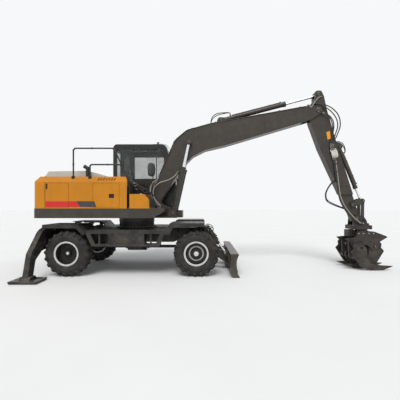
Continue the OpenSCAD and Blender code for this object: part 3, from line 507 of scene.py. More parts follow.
def floor_finish(name, colour):
    """Plain pale floor, cloudy by a few parts in a hundred."""
    finish, tree, shader, place = new_finish(name)
    tone = mixed(tree, ramp(tree, noise(tree, place, 0.6, 3), 0.3, 0.7), rgba(colour), shade(colour, 0.97))
    fill(tree, shader, {"Base Color": tone, "Roughness": 0.85})
    return finish


def wheel_paint(name, colour, dark, axle, bands):
    """Rim paint in rings about the axle: pale where the radius is in a band, else dark, with dust and chips; a band
    about the axle is a painted highlight on the hub.
    """
    finish = worn_paint(name, dark, 0.45, dust=0.04, chips=0.1)
    tree = finish.node_tree
    shader = tree.nodes["Principled BSDF"]
    place = shader_node(tree, "ShaderNodeTexCoord").outputs["Object"]
    radius = line_distance(tree, place, axle, (1, 0, 1))
    share = None
    for low, high, strength in bands:
        inside, outside = ramp(
            tree, radius, low, low + 0.002, 0, strength), ramp(tree, radius, high, high + 0.002, 1, 0)
        band = multiply(tree, inside, outside)
        share = band if share is None else greater(tree, share, band)
    under = shader.inputs["Base Color"].links[0].from_socket
    pale = mixed(tree, ramp(tree, noise(tree, place, 8, 5), 0.42, 0.8, 0, 0.45), rgba(colour), WHEEL_DUST)
    fill(tree, shader, {"Base Color": mixed(tree, share, under, pale)})
    return finish


def scene_finishes():
    """The finishes by their names, made once from the colours in the panel."""
    if "orange paint" in bpy.data.materials:
        return {f.name: f for f in bpy.data.materials}
    colours = bpy.context.scene.excavator_colours
    return {f.name: f for f in (
        worn_paint("orange paint", colours.orange, 0.4, dust=0.03, coat=0.05),
        worn_paint("graphite paint", colours.graphite, 0.38, dust=0.1, chips=0.3, coat=0.1),
        worn_paint("black paint", colours.black, 0.42, dust=0.14, chips=0.25),
        worn_paint("cab paint", colours.black, 0.3, dust=0.05, coat=0.2),
        # The band from the axle out to 0.034 on the rear rims and to 0.052 on the front rims is a painted highlight on
        # the hub; the other bands are the rims' pale rings.
        wheel_paint("rear rim paint", colours.rim, colours.black, REAR_AXLE, [(0.240, 0.29, 1.0), (0, 0.034, 0.9)]),
        wheel_paint("front rim paint", colours.rim, colours.black, FRONT_AXLE, [
            (0.240, 0.29, 1.0), (0.139, 0.171, 0.45), (0, 0.052, 0.9)]),
        worn_paint("bonnet paint", colours.bonnet, 0.4, dust=0.12),
        worn_paint("engine casting", (0.19, 0.19, 0.2), 0.62, dust=0.2),
        worn_paint("grapple paint", colours.grapple, 0.45, dust=0.1, chips=0.4),
        worn_paint("red stripe", colours.red_stripe, 0.35, dust=0.08),
        worn_paint("grey stripe", colours.grey_stripe, 0.35, dust=0.08),
        worn_paint("amber lens", (0.85, 0.32, 0.02), 0.2, dust=0.05),
        worn_paint("red lens", (0.5, 0.015, 0.012), 0.2, dust=0.05),
        rubber("tyre rubber", colours.tyre, dust=0.16),
        rubber("hose rubber", (0.028, 0.028, 0.029), dust=0.22),
        bare_metal("chrome rod", CHROME, 0.1),
        *(rod_finish(name, colours.graphite if working else colours.black, *eye) for name, working, *eye in RODS),
        bare_metal("bare steel", (0.46, 0.45, 0.43), 0.36, 0.2),
        bare_metal("dull fitting", (0.17, 0.165, 0.155), 0.42, 0.2),
        bare_metal("zinc fitting", (0.62, 0.61, 0.56), 0.32, 0.15),
        bare_metal("lamp mirror", (0.9, 0.9, 0.9), 0.08),
        tinted_glass("cab glass", (0.10, 0.115, 0.108), 0.22),
        tinted_glass("lamp glass", (0.75, 0.78, 0.8), 0.3),
        worn_paint("trim cloth grey", (0.27, 0.28, 0.27), 0.75, dust=0.02),
        # Pale rubber: the pale hoses of the boom, and a painted highlight along one of the grapple's black hoses.
        rubber("pale hose", (0.34, 0.31, 0.26), dust=0.35),
        # Near-black finish: the real black of panel joints and the monitor's face, and painted shade on sheets laid in
        # recesses, vents, the exhaust's mouth and holes.
        worn_paint("black hole", (0.006, 0.006, 0.006), 0.7, dust=0.02),
        floor_finish("floor", bpy.context.scene.excavator_stage.floor),
        moulded_plastic("cab plastic", (0.032, 0.032, 0.034)),
        woven_cloth("seat cloth", (0.05, 0.05, 0.055)),
    )}


# Rods: finish, whether it has the working gear's paint, middle of the eye, reach of the eye, axis of its pin
RODS = [
    ("boom rod", True, at_y(BOOM_LIFT), 0.070, "y"),
    ("arm rod", True, at_y(ARM_PUSH), 0.064, "y"),
    ("tool rod", True, at_y(LINK_TOP), 0.054, "y"),
    ("blade rod", False, at_y(BLADE_EYE), 0.038, "y"),
    ("claw rod", False, (GRAPPLE_X + LEVER[0], 0, LEVER[1]), 0.040, "y"),
    ("right leg rod", False, (0, -LEG_EYE[0], LEG_EYE[1]), 0.046, "x"),
    ("left leg rod", False, (0, LEG_EYE[0], LEG_EYE[1]), 0.046, "x"),
]
SLOT_FINISH = {
    "orange_paint": "orange paint", "graphite_paint": "graphite paint", "black_paint": "black paint",
    "tyre": "tyre rubber", "rim_white": "rear rim paint", "chrome_rod": "chrome rod", "bonnet_grey": "bonnet paint",
    "cast": "engine casting", "cab_plastic": "cab plastic", "glass": "cab glass", "seat_fabric": "seat cloth",
    "grapple_black": "grapple paint",
}
NODE_FINISH = {
    "rear_right_rim": "rear rim paint", "rear_left_rim": "rear rim paint", "front_right_rim": "front rim paint",
    "front_left_rim": "front rim paint", "cab_shell": "cab paint", "cab_door": "cab paint",
    "boom_barrels": "graphite paint", "boom_rods": "boom rod", "arm_rod": "arm rod", "tool_rod": "tool rod",
    "blade_rods": "blade rod", "claw_rod": "claw rod", "right_leg_rod": "right leg rod",
    "left_leg_rod": "left leg rod",}


# Settings in the panel


def colour_setting(name, description, default):
    """A colour in the panel."""
    return FloatVectorProperty(
        name=name, description=description, subtype="COLOR", size=3, min=0.0, max=1.0, default=default)


def number_setting(name, description, default, low=0.0, **more):
    """A number in the panel, not less than low."""
    return FloatProperty(name=name, description=description, default=default, min=low, **more)


class ExcavatorColours(bpy.types.PropertyGroup):
    """Paint and rubber colours."""

    orange: colour_setting("Orange", "Hood, counterweight and front tank", (0.50, 0.185, 0.002))
    graphite: colour_setting("Graphite", "Boom, arm, upper frame and blade", (0.036, 0.030, 0.024))
    black: colour_setting("Black", "Undercarriage, cab and handrails", (0.013, 0.013, 0.013))
    rim: colour_setting("Rim", "Painted rings of the wheels", (0.68, 0.68, 0.67))
    bonnet: colour_setting("Bonnet", "Cover over the engine", (0.50, 0.50, 0.46))
    grapple: colour_setting("Grapple", "Claws and their carrier", (0.020, 0.018, 0.016))
    tyre: colour_setting("Tyre", "Rubber of the tyres", (0.014, 0.013, 0.013))
    red_stripe: colour_setting("Red stripe", "Rear part of the stripe on the hood", (0.55, 0.02, 0.02))
    grey_stripe: colour_setting("Grey stripe", "Front part of the stripe on the hood", (0.045, 0.045, 0.05))


class ExcavatorTread(bpy.types.PropertyGroup):
    """Lugs of the tyres."""

    count: IntProperty(name="Lugs", description="Lugs on each shoulder of a tyre", default=20, min=8, max=60)
    height: number_setting("Height", "Height of a lug over the casing", 0.028, unit="LENGTH")
    width: number_setting("Width", "Width of a lug along the tread", 0.060, 0.01, unit="LENGTH")
    lean: FloatProperty(
        name="Lean", description="How far a lug turns from shoulder to middle", default=math.radians(12),
        subtype="ANGLE")


class ExcavatorStage(bpy.types.PropertyGroup):
    """Floor, lights and camera."""

    floor: colour_setting("Floor", "Colour of the floor", (0.80, 0.80, 0.79))
    sky_strength: number_setting("Sky", "Strength of the soft light from all round", 0.56)
    key_strength: number_setting("Key light", "Strength of the high soft lamp", 1.95)
    lens: number_setting("Lens", "Focal length of the camera", 27.36, 10.0, unit="CAMERA")
    camera: FloatVectorProperty(
        name="Camera", description="Place of the camera", subtype="XYZ", unit="LENGTH", default=(1.76, -8.0, 1.60))


# Pieces


class EXCAVATOR_OT_finishes(bpy.types.Operator):
    """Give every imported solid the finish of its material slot."""

    bl_idname = "excavator.finishes"
    bl_label = "Finish the frame"

    def execute(self, context):
        finishes = scene_finishes()
        slots = {row["node"]: row["material_slot"] for row in frame["record"]["subparts"]}
        for name, solid in NODES.items():
            solid.data.materials.clear()
            solid.data.materials.append(finishes[NODE_FINISH.get(name) or SLOT_FINISH[slots[name]]])
        return {"FINISHED"}


def rounded(corners, closed=True, steps=5):
    """Corners (a, b, radius) with each radius drawn as an arc of a few chords, as the solids' outlines are."""
    corners = [(*corner, 0.0)[:3] for corner in corners]
    flat = np.array([corner[:2] for corner in corners], float)
    line = []
    for index, (_, _, radius) in enumerate(corners):
        if radius <= 0 or (not closed and index in (0, len(corners) - 1)):
            line.append(flat[index:index + 1])
            continue
        u = flat[index - 1] - flat[index]
        v = flat[(index + 1) % len(flat)] - flat[index]
        u, v = u / np.linalg.norm(u), v / np.linalg.norm(v)
        half = math.acos(float(u @ v)) / 2
        middle = flat[index] + (u + v) / np.linalg.norm(u + v) * radius / math.sin(half)
        first = flat[index] + u * radius / math.tan(half) - middle
        last = flat[index] + v * radius / math.tan(half) - middle
        share = np.linspace(0, 1, steps)[:, None]
        angle = math.pi - 2 * half
        line.append(middle + (np.sin((1 - share) * angle) * first + np.sin(share * angle) * last) / math.sin(angle))
    return np.vstack(line)


def shifted(line, distance):
    """Open line in XZ moved to its left by the distance, square to its direction at each point."""
    along = np.gradient(line, axis=0)
    along /= np.linalg.norm(along, axis=1)[:, None]
    return line + np.stack([-along[:, 1], along[:, 0]], -1) * distance


def in_plane(line, y):
    """Line in XZ as points in space at y."""
    line = np.asarray(line, float)
    return np.insert(line, 1, y, axis=1)


def rod(a, b, radius, count=24):
    """Straight round bar from a to b with flat ends."""
    return tube([a, b], radius, 0, count)


def hoop(centre, radius, thickness, axis="y", count=48):
    """Ring of round section: a small circle turned about the axis."""
    return ring_lathed(circle(thickness, 10) + [radius, 0], centre, axis, count)


def brick(low, high, bevel=0.003):
    """Box between two corners with its upper and lower rims cut back."""
    return slab(rectangle(low[0], high[0], low[1], high[1], min(bevel, 0.004)), low[2], high[2], "z", bevel)


def joined(*groups):
    """Groups of parts by finish, put together."""
    whole = {}
    for group in groups:
        for finish, parts in group.items():
            whole.setdefault(finish, []).extend(parts)
    return whole


def hose(points, radius, finish="hose rubber", steps=8):
    """Hose along a smooth line, with a crimped sleeve and a union nut at each end."""
    p = np.asarray(points, float)
    path = smooth_line(p, steps)
    ends = []
    for end, inner in ((path[0], path[2]), (path[-1], path[-3])):
        way = (inner - end) / np.linalg.norm(inner - end)
        ends += [
            rod(end, end + way * radius * 4.5, radius * 1.32, 14),
            rod(end - way * radius * 0.3, end + way * radius * 1.5, radius * 1.7, 6)]
    return {finish: [closed_part(carried(circle(radius, 10), path))], "dull fitting": ends}


def hoses(name, lines, radius, finish, body, start=None):
    """Hoses as one piece: it rides on one body, or, when a start is given, stays fixed where it lies and rides on
    none.
    """
    groups = joined(*(hose(line, radius, finish) for line in lines))
    if start is None:
        return add_piece(name, groups, body)
    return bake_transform(add_piece(name, groups))


def pin_end(place, radius, axis="y", side=-1, finish="graphite paint"):
    """End of a pin: a chamfered cap, a bolted keeper plate over its rim, and a grease nipple in its middle."""
    place = np.asarray(place, float)
    along = np.array(AXES[axis][2], float) * side
    cap = lathed([
        (radius * 1.3, 0), (radius * 1.3, side * 0.006), (radius * 1.15, side * 0.010), (radius * 0.4, side * 0.010),
        (radius * 0.4, side * 0.006)], place, axis, 28)
    nipple = lathed([
        (0.006, side * 0.004), (0.006, side * 0.012), (0.0035, side * 0.014), (0.0045, side * 0.019)
    ], place, axis, 12)
    across = np.array(AXES[axis][1], float)
    spots = [place + along * 0.006 + across * radius * 0.82 * s for s in (-1, 1)]
    return {finish: [cap], "zinc fitting": [nipple] + bolts(spots, radius * 0.16, 0.009, axis, side)}


def pin_pairs(pins, finish="graphite paint"):
    """Pin ends on both sides of the middle plane; a pin is its (x, z), its distance out and its radius."""
    return joined(*(
        pin_end(at_y(pin, side * out), radius, "y", side, finish) for pin, out, radius in pins for side in (-1, 1)))


def collar(centre, way, inner, outer, width, count=32):
    """Ring of square section about the way: four circles, joined round."""
    across = np.cross(way, [0.3, 1.0, 0.2])
    across /= np.linalg.norm(across)
    up = np.cross(way, across)
    a = np.linspace(0, 2 * math.pi, count, endpoint=False)[:, None]
    spin = np.cos(a) * across + np.sin(a) * up
    rings = [
        centre + spin * inner, centre + spin * outer, centre + spin * outer + way * width,
        centre + spin * inner + way * width]
    return grid_part(np.array(rings), True, True)


def barrel_dress(a, b, length, radius, rod_radius, normal, bands=(0.3, 0.7), finish="graphite paint"):
    """Pipe along a cylinder's tube on two bands, with port blocks at its foot and gland, and a wiper ring."""
    a, b, normal = (np.asarray(v, float) for v in (a, b, normal))
    along = (b - a) / np.linalg.norm(b - a)
    normal = normal - along * (normal @ along)
    normal /= np.linalg.norm(normal)
    at = lambda share, lift: a + along * length * share + normal * lift
    out = radius + 0.010
    low, high = 0.16, 1 - 0.115 / max(length, 0.5)  # the port blocks, as shares of the tube
    pipe = rod(at(low + 0.02, out), at(high, out), 0.009, 12)
    ports = [rod(at(share, radius * 0.8), at(share, radius + 0.03), 0.017, 8) for share in (low, high)]
    bends = [rod(at(low, out), at(low, out + 0.02), 0.013, 6)]
    straps = [collar(at(share, 0), along, radius - 0.001, radius + 0.003, 0.022) for share in bands]
    saddles = [rod(at(share, out), at(share, out) + along * 0.022, 0.015, 12) for share in bands]
    wiper = collar(at(1, 0) - along * 0.0005, along, rod_radius + 0.0015, radius * 0.80, 0.004)
    return {finish: [pipe, *straps, *saddles, *ports], "zinc fitting": bends, "hose rubber": [wiper]}


def lamp(centre, radius, way, depth=0.05, glass="lamp glass"):
    """Round work lamp: housing, mirror, glass and rim, pointing the given way."""
    c, way = np.asarray(centre, float), np.asarray(way, float) / np.linalg.norm(way)
    return {
        "cab plastic": [
            rod(c - way * depth, c, radius, 28), rod(c - way * depth * 1.3, c - way * depth, radius * 0.6, 20),
            rod(c - way * 0.004, c + way * 0.003, radius * 1.06, 28)],
        "lamp mirror": [rod(c + way * 0.003, c + way * 0.0035, radius * 0.9, 28)],
        glass: [rod(c + way * 0.004, c + way * 0.0055, radius * 0.92, 28)],}


def casing_profile():
    """Half of a tyre's section from bead to middle, as (distance from the middle, radius), with side wall ribs."""
    half = TYRE_WIDTH / 2
    return np.array([
        (half - 0.046, RIM_RADIUS + 0.001), (half - 0.046, 0.2785), (half - 0.037, 0.2815), (half - 0.025, 0.290),
        (half - 0.014, 0.303), (half - 0.008, 0.320), (half - 0.0045, 0.333), (half - 0.0015, 0.336),
        (half - 0.0015, 0.343), (half - 0.0038, 0.346), (half - 0.002, 0.372), (half, 0.376), (half, 0.384),
        (half - 0.004, 0.388), (half - 0.015, 0.410), (half - 0.031, 0.440), (half - 0.050, 0.475),
        (half - 0.066, 0.490), (0.105, 0.4955), (0.05, 0.497), (0, 0.497)])


def tyre_parts(x, side, tread):
    """Casing turned about the axle, and lugs: each a block from the middle over the shoulder, with sloping flanks."""
    half = casing_profile()
    whole = np.vstack([half, half[-2::-1] * [-1, 1]])
    inner = np.array([(-TYRE_WIDTH / 2 + 0.06, RIM_RADIUS + 0.02), (TYRE_WIDTH / 2 - 0.06, RIM_RADIUS + 0.02)])
    outline = np.vstack([whole, inner])
    centre = np.array([x, side * WHEEL_Y, REAR_AXLE[2]])
    casing = ring_lathed(outline[:, ::-1], centre, "y", 120)
    top = np.array([
        (0.008, 0.522), (0.050, 0.5215), (0.100, 0.519), (0.138, 0.5145), (0.160, 0.504), (0.177, 0.487),
        (0.190, 0.466), (0.1925, 0.450), (0.187, 0.433), (0.176, 0.418)])
    root = np.array([
        (0.008, 0.492), (0.050, 0.492), (0.100, 0.490), (0.126, 0.486), (0.138, 0.474), (0.148, 0.462),
        (0.158, 0.448), (0.164, 0.438), (0.168, 0.425), (0.170, 0.410)])
    top[:, 1] = root[:, 1] + (top[:, 1] - root[:, 1]) * tread.height / 0.028
    top[:, 1] = np.minimum(top[:, 1], TYRE_RADIUS)
    wide = tread.width / 2 * np.array([1, 1, 1, 1, 1, 0.98, 0.93, 0.85, 0.72, 0.6])
    across = np.array([-1.14, -1.0, -0.84, 0.84, 1.0, 1.14])
    rise = np.array([0.0, 0.84, 1.0, 1.0, 0.84, 0.0])
    block = root[:, None] + (top - root)[:, None] * rise[None, :, None]
    angle = (wide[:, None] * across[None] - math.sin(tread.lean) * block[..., 0]) / block[..., 1]
    lugs = []
    for row in (-1, 1):
        for place in range(tread.count):
            a = angle + 2 * math.pi * (place + (row > 0) / 2) / tread.count
            points = np.stack([block[..., 1] * np.cos(a), block[..., 0] * row, block[..., 1] * np.sin(a)], -1)
            lugs.append(closed_part(points + centre))
    return [casing] + lugs


class EXCAVATOR_OT_tyres(bpy.types.Operator):
    """Make the four tyres with their shoulder lugs."""

    bl_idname = "excavator.tyres"
    bl_label = "Tyres"

    def execute(self, context):
        for wheel, (x, side) in WHEELS.items():
            parts = tyre_parts(x, side, context.scene.excavator_tread)
            piece = add_piece(f"{wheel}_lugged_tyre", {"tyre rubber": parts}, f"{wheel}_wheel")
            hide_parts(f"{wheel}_tyre")
        return {"FINISHED"}


class EXCAVATOR_OT_wheel_nuts(bpy.types.Operator):
    """Put nuts, studs, hub bolts, a hub cap, a valve and a lock ring on the wheels."""

    bl_idname = "excavator.wheel_nuts"
    bl_label = "Wheel nuts"

    def execute(self, context):
        for wheel, (x, side) in WHEELS.items():
            # Distance out of the disc's face, ring of nuts, ring of hub bolts, their number and the hub's face
            face, ring, hub, hub_count, hub_face = (
                (1.001, 0.099, 0.045, 6, 1.091) if wheel.startswith("rear") else (1.071, 0.121, 0.074, 8, 1.145))
            spots = around((x, side * face, AXLE_Z), ring, angles(10) + 0.2)
            nuts = bolts(spots, 0.013, 0.020, "y", side)
            studs = repeated(lathed(
                [(0.007, 0), (0.007, side * 0.032), (0.005, side * 0.034)], ORIGIN, "y", 10), spots)
            hub_spots = around((x, side * hub_face, AXLE_Z), hub, angles(hub_count) + 0.2)
            hub_bolts = bolts(hub_spots, 0.006, 0.006, "y", side)
            centre = (x, side * (hub_face + 0.012), AXLE_Z)
            cap = lathed([(0.022, 0), (0.022, side * 0.006), (0.014, side * 0.010)], centre, "y", 24)
            spot = around((x, side * face, AXLE_Z), 0.224, [0.9])[0]
            out = np.array([0, side, 0])
            valve = [
                rod(spot, spot + out * 0.045, 0.005, 10), rod(spot + out * 0.045, spot + out * 0.058, 0.0065, 10)]
            lock_ring = hoop((x, side * 1.1715, AXLE_Z), 0.2600, 0.0022, "y", 96)
            add_piece(f"{wheel}_nuts", {
                "black paint": nuts + studs + hub_bolts + [lock_ring], "zinc fitting": valve + [cap]
            }, f"{wheel}_wheel")
        return {"FINISHED"}


def stripe(outline, side, finish):
    """Thin plate of paint on the hood's side, from its outline in XZ."""
    return {finish: [sheet(outline, side * HOOD_Y, side * 0.0014, 0.0004)]}


def latch(x0, x1, z0, z1, side, bars):
    """Latch: a black sheet at its recess's floor, partly the black lining and partly painted shade of the recess, with
    its grips and their pivots; a bar is (x, z) of its two ends.
    """
    y = side * (HOOD_Y - 0.0148)
    out = y + side * 0.010
    # Black sheet at the recess's floor: partly its black lining, partly painted shade.
    lining = sheet(rectangle(x0 + 0.001, x1 - 0.001, z0 + 0.001, z1 - 0.001, 0.004), y, -side * 0.001)
    grips = [tube([at_y(a, y), at_y(a, out), at_y(b, out), at_y(b, y)], 0.0045, 4, 8) for a, b in bars]
    return {"black hole": [lining], "cab plastic": grips}


def hinge_barrels(x, side, heights):
    """Three-knuckle hinges on the hood's side."""
    y = side * (HOOD_Y + 0.003)
    return {"orange paint": [
        rod((x, y, z + k * 0.027), (x, y, z + k * 0.027 + 0.025), 0.008, 16) for z in heights for k in (-1, 0, 1)]}


class EXCAVATOR_OT_hood_sides(bpy.types.Operator):
    """Put the stripe, latches, hinges, seams and slots on the hood and its doors."""

    bl_idname = "excavator.hood_sides"
    bl_label = "Hood sides"

    def execute(self, context):
        low, high = 1.576, 1.708  # the stripe's edges
        band = lambda a, b, lean_a=0.0, lean_b=0.0: [(a, low), (b, low), (b - lean_b, high), (a - lean_a, high)]
        add_piece("rear_service_door_trim", joined(
            stripe(band(-1.788, -1.2757), -1, "red stripe"),
            latch(-1.785, -1.745, 1.980, 2.100, -1, [((-1.765, 1.995), (-1.765, 2.085))]),
            hinge_barrels(-1.2725, -1, (1.77, 2.05))), "rear_service_door")
        add_piece(
            "front_service_door_trim",
            joined(
                stripe(band(-0.7265, -0.650, 0, 0.045), -1, "grey stripe"),
                latch(-0.372, -0.255, 1.780, 1.870, -1, [
                    ((-0.355, 1.845), (-0.318, 1.845)), ((-0.309, 1.845), (-0.272, 1.845)),
                    ((-0.340, 1.805), (-0.285, 1.805))]),
                hinge_barrels(-0.7305, -1, (1.77, 2.05))),
            "front_service_door")
        add_piece("left_service_door_trim", joined(
            stripe(band(-1.788, -1.015, 0, 0.080), 1, "red stripe"),
            stripe(band(-1.015, -0.835, 0.080, 0), 1, "grey stripe"),
            latch(-0.885, -0.845, 1.980, 2.100, 1, [((-0.865, 1.995), (-0.865, 2.085))]),
            hinge_barrels(-1.7925, 1, (1.77, 2.05))), "left_service_door")
        seams = [sheet(rectangle(-1.8105, -1.8045, 1.546, 2.138), side * HOOD_Y, side * 0.001) for side in (-1, 1)]
        # Black slab at each louvre groove's bottom: painted shade in the groove, partly the black mesh behind it.
        groove_shade = slab(rectangle(-0.0098, 0.0098, -0.0468, 0.0468), -0.0195, -0.0180, "z", 0.0003)
        slat = slab(rectangle(-0.0085, -0.0065, -0.0465, 0.0465), -0.019, -0.004, "z", 0.0005)
        slope = math.degrees(math.atan2(0.130, 0.120))
        steep = [turned(turned(part, ORIGIN, (0, 0, 1), -15), ORIGIN, (1, 0, 0), slope) for part in (groove_shade, slat)]
        places = [(-0.618 + 0.06 * k, -(HOOD_Y - 0.060), 2.205) for k in range(7)]
        add_piece("hood_trim", joined(
            stripe(band(-1.2693, -1.015, 0, 0.080), -1, "red stripe"),
            stripe(band(-1.015, -0.7345, 0.080, 0), -1, "grey stripe"),
            {"black hole": repeated(steep[0], places) + seams, "black paint": repeated(steep[1], places)}), "upper")
        return {"FINISHED"}


class EXCAVATOR_OT_hood_top(bpy.types.Operator):
    """Fit out bonnet, exhaust, tank, counterweight and handrails, and lay black plates on the front faces of the hood
    and the tank, and the hoses.
    """

    bl_idname = "excavator.hood_top"
    bl_label = "Hood top"

    def execute(self, context):
        crest = [(-1.86, 2.4205), (-1.03, 2.4338), (-1.05, 2.4445), (-1.84, 2.4315)]
        ridges = [slab(crest, y0, y1, "y", 0.004) for y0, y1 in ((-0.62, -0.55), (-0.29, -0.21), (0.05, 0.12))]
        seal = [slab(rectangle(-1.985, -0.501, 2.2705, 2.286), y, y + 0.006, "y", 0.001) for y in (-0.806, 0.300)]
        seal += [slab(rectangle(-0.804, 0.304, 2.2705, 2.286), -0.505, -0.499, "x", 0.001)]
        tilt = math.degrees(math.atan2(0.135, 0.480))
        # Thin black strips over the bonnet's vent: painted shade of its slots.
        slat = turned(
            slab(rectangle(-0.009, 0.009, -0.62, 0.12, 0.008), 0, 0.003, "z", 0.001), ORIGIN, (0, 1, 0), tilt)
        vent_shade_strips = repeated(slat, [(-0.93 + 0.055 * k, 0, 2.4155 - 0.01547 * k) for k in range(6)])
        grip = tube([
            (-0.540, -0.32, 2.305), (-0.512, -0.32, 2.318), (-0.512, -0.18, 2.318), (-0.540, -0.18, 2.305)
        ], 0.007, 6, 10)
        hinges = [rod((-1.990, y - 0.05, 2.2703), (-1.990, y + 0.05, 2.2703), 0.009, 16) for y in (-0.62, 0.12)]
        add_piece("bonnet_trim", {"bonnet paint": ridges, "hose rubber": seal,
                                  "black hole": vent_shade_strips, "cab plastic": [grip], "black paint": hinges}, "bonnet")
        elbow = np.array([-0.955, -0.900, 2.480])
        way = np.array([-0.8575, 0, 0.5145])
        end = elbow + np.array([-0.075, 0, 0.045])
        foot = elbow * [1, 1, 0] + [0, 0, 2.270]
        add_piece("exhaust_trim", {
            "black paint": [
                rod(end - way * 0.016, end + way * 0.006, 0.0445, 32),
                lathed([(0.078, 0), (0.078, 0.010), (0.050, 0.014)], foot, "z", 32),
                rod(foot + [0, 0, 0.12], foot + [0, 0, 0.135], 0.0455, 32)],
            # Black disc in the pipe's mouth: painted shade of the bore.
            "black hole": [rod(end + way * 0.0062, end + way * 0.0068, 0.0375, 28)],
            "zinc fitting": bolts(
                around(foot + [0, 0, 0.010], 0.064, (0.8, 2.37, 3.94, 5.5), "z"), 0.007, 0.007, "z", 1)}, "upper")
        cap = np.array([0.24, -0.62, 1.868])
        rings = [(0.062, 0), (0.062, 0.006), (0.050, 0.008), (0.050, 0.034), (0.044, 0.040)]
        neck = [lathed(rings, cap, "z", 28)]
        pads = [brick((0.12, -1.16, 1.8675), (0.37, -0.78, 1.872), 0.001)]
        spots = [(x, y, 1.8715) for x in np.arange(0.135, 0.37, 0.03) for y in np.arange(-1.145, -0.79, 0.03)]
        studs = repeated(lathed([(0.007, 0), (0.005, 0.004)], ORIGIN, "z", 8), spots)
        add_piece("tank_trim", {
            "black paint": neck + pads + studs,
            "zinc fitting": [rod(cap + [-0.012, -0.055, 0.020], cap + [0.012, -0.055, 0.020], 0.012, 12)]}, "upper")
        eyes, bezels, reds, ambers = [], [], [], []
        for y in (-0.55, 0.55):
            eyes += [
                hoop((-2.10, y, 2.300), 0.040, 0.012, "y", 32),
                brick((-2.135, y - 0.02, 2.268), (-2.065, y + 0.02, 2.276))]
        for side in (-1, 1):
            for lenses, centre, width, proud in (
                    (bezels, 0, 0.115, 0.003), (reds, -0.026, 0.044, 0.0065), (ambers, 0.028, 0.044, 0.0065)):
                outline = rectangle(centre - width / 2, centre + width / 2, 1.640, 1.700, 0.008)
                plate = slab(outline, -2.362 - proud, -2.350, "x", 0.002)
                lenses.append(turned(plate, ORIGIN, (0, 0, 1), side * -22))
        grille = [
            slab(rectangle(-0.20, 0.20, z, z + 0.012, 0.004), -2.3618, -2.350, "x", 0.001)
            for z in np.arange(1.80, 1.98, 0.03)]
        camera = [slab(rectangle(-0.04, 0.04, 2.05, 2.10, 0.01), -2.3655, -2.35, "x", 0.002)]
        add_piece("counterweight_trim", {
            "orange paint": eyes, "cab plastic": bezels + camera, "red lens": reds, "amber lens": ambers,
            "black hole": grille, "lamp mirror": [rod((-2.3657, 0, 2.075), (-2.3667, 0, 2.075), 0.010, 20)]}, "upper")
        # Black plates over the front faces of the hood and of the tank, which are dark there.
        front = rounded([(0.0302, 1.560, 0), (0.0302, 2.170, 0.110), (-0.0185, 2.2690, 0)], closed=False)
        panel = np.vstack([shifted(front, -0.0018), front[::-1]])
        low_panel = rectangle(0.0302, 0.0320, 1.560, 2.050)
        nose = rounded([(0.4300, 1.8494, 0), (0.525, 1.760, 0.060), (0.5345, 1.560, 0)], closed=False)
        tank_front_plate = np.vstack([shifted(nose, 0.0022), nose[::-1]])
        runs = [
            [
                (0.032, -0.450, 2.130), (0.100, -0.450, 2.130), (0.220, -0.445, 2.060), (0.330, -0.420, 1.980),
                (0.410, -0.340, 1.820), (0.440, -0.300, 1.660), (0.440, -0.300, 1.546)],
            [
                (0.032, -0.520, 2.080), (0.110, -0.520, 2.080), (0.200, -0.505, 1.990), (0.320, -0.440, 2.020),
                (0.400, -0.360, 1.930), (0.400, -0.320, 1.700), (0.395, -0.315, 1.546)],
            [
                (0.032, -0.620, 2.140), (0.090, -0.620, 2.140), (0.180, -0.600, 2.050), (0.290, -0.520, 1.930),
                (0.400, -0.400, 1.945), (0.480, -0.300, 1.860), (0.500, -0.270, 1.680), (0.500, -0.270, 1.546)],
            [
                (0.032, -0.400, 2.010), (0.080, -0.400, 2.000), (0.150, -0.390, 1.900), (0.240, -0.370, 1.800),
                (0.330, -0.330, 1.680), (0.345, -0.320, 1.546)]]
        hoses("hood_hoses", runs, 0.016, "hose rubber", "upper")
        bars = [
            slab(rectangle(-1.10, -0.52, z, z + 0.012, 0.004), 0.5360, 0.5420, "x", 0.001) for z in (1.62, 1.66, 1.70)
        ]
        add_piece("hood_front", {
            "black paint": [
                slab(panel, -1.070, -0.362, "y", 0.0003), slab(low_panel, -1.180, -1.074, "y", 0.0003),
                slab(tank_front_plate, -1.186, -0.430, "y", 0.0005)] + bars}, "upper")
        foot = [(0.032, 0), (0.032, 0.010), (0.022, 0.020)]
        posts = [lathed(foot, (x, RAIL_Y, 2.268), "z", 20) for x in (-1.205, -0.827)]
        clips = [rod((-1.205, RAIL_Y, 2.872), (-1.205, RAIL_Y, 2.868), 0.020, 16)]
        sleeves = [
            rod((x, RAIL_Y, z), (x + d, RAIL_Y, z + h), 0.0205, 20)
            for x, z, d, h in (
                (-1.205, 2.52, 0, 0.045), (-0.80, 2.91, 0.04, 0), (0.060, 1.70, 0, 0.045), (-0.45, 2.54, 0.04, 0))]
        plates = [brick((0.035, RAIL_Y - 0.045, 1.544), (0.085, RAIL_Y + 0.045, 1.552), 0.002)]
        add_piece("rail_fittings", {
            "black paint": posts + clips + sleeves + plates,
            "zinc fitting": bolts([(0.060, RAIL_Y + d, 1.552) for d in (-0.032, 0.032)], 0.006, 0.006, "z", 1)
        }, "upper")
        return {"FINISHED"}


def squared(a, power):
    """Superellipse at the angles: cosine and sine raised to the power, with their signs kept."""
    c, s = np.cos(a), np.sin(a)
    return np.stack([np.sign(c) * np.abs(c) ** power, np.sign(s) * np.abs(s) ** power], -1)


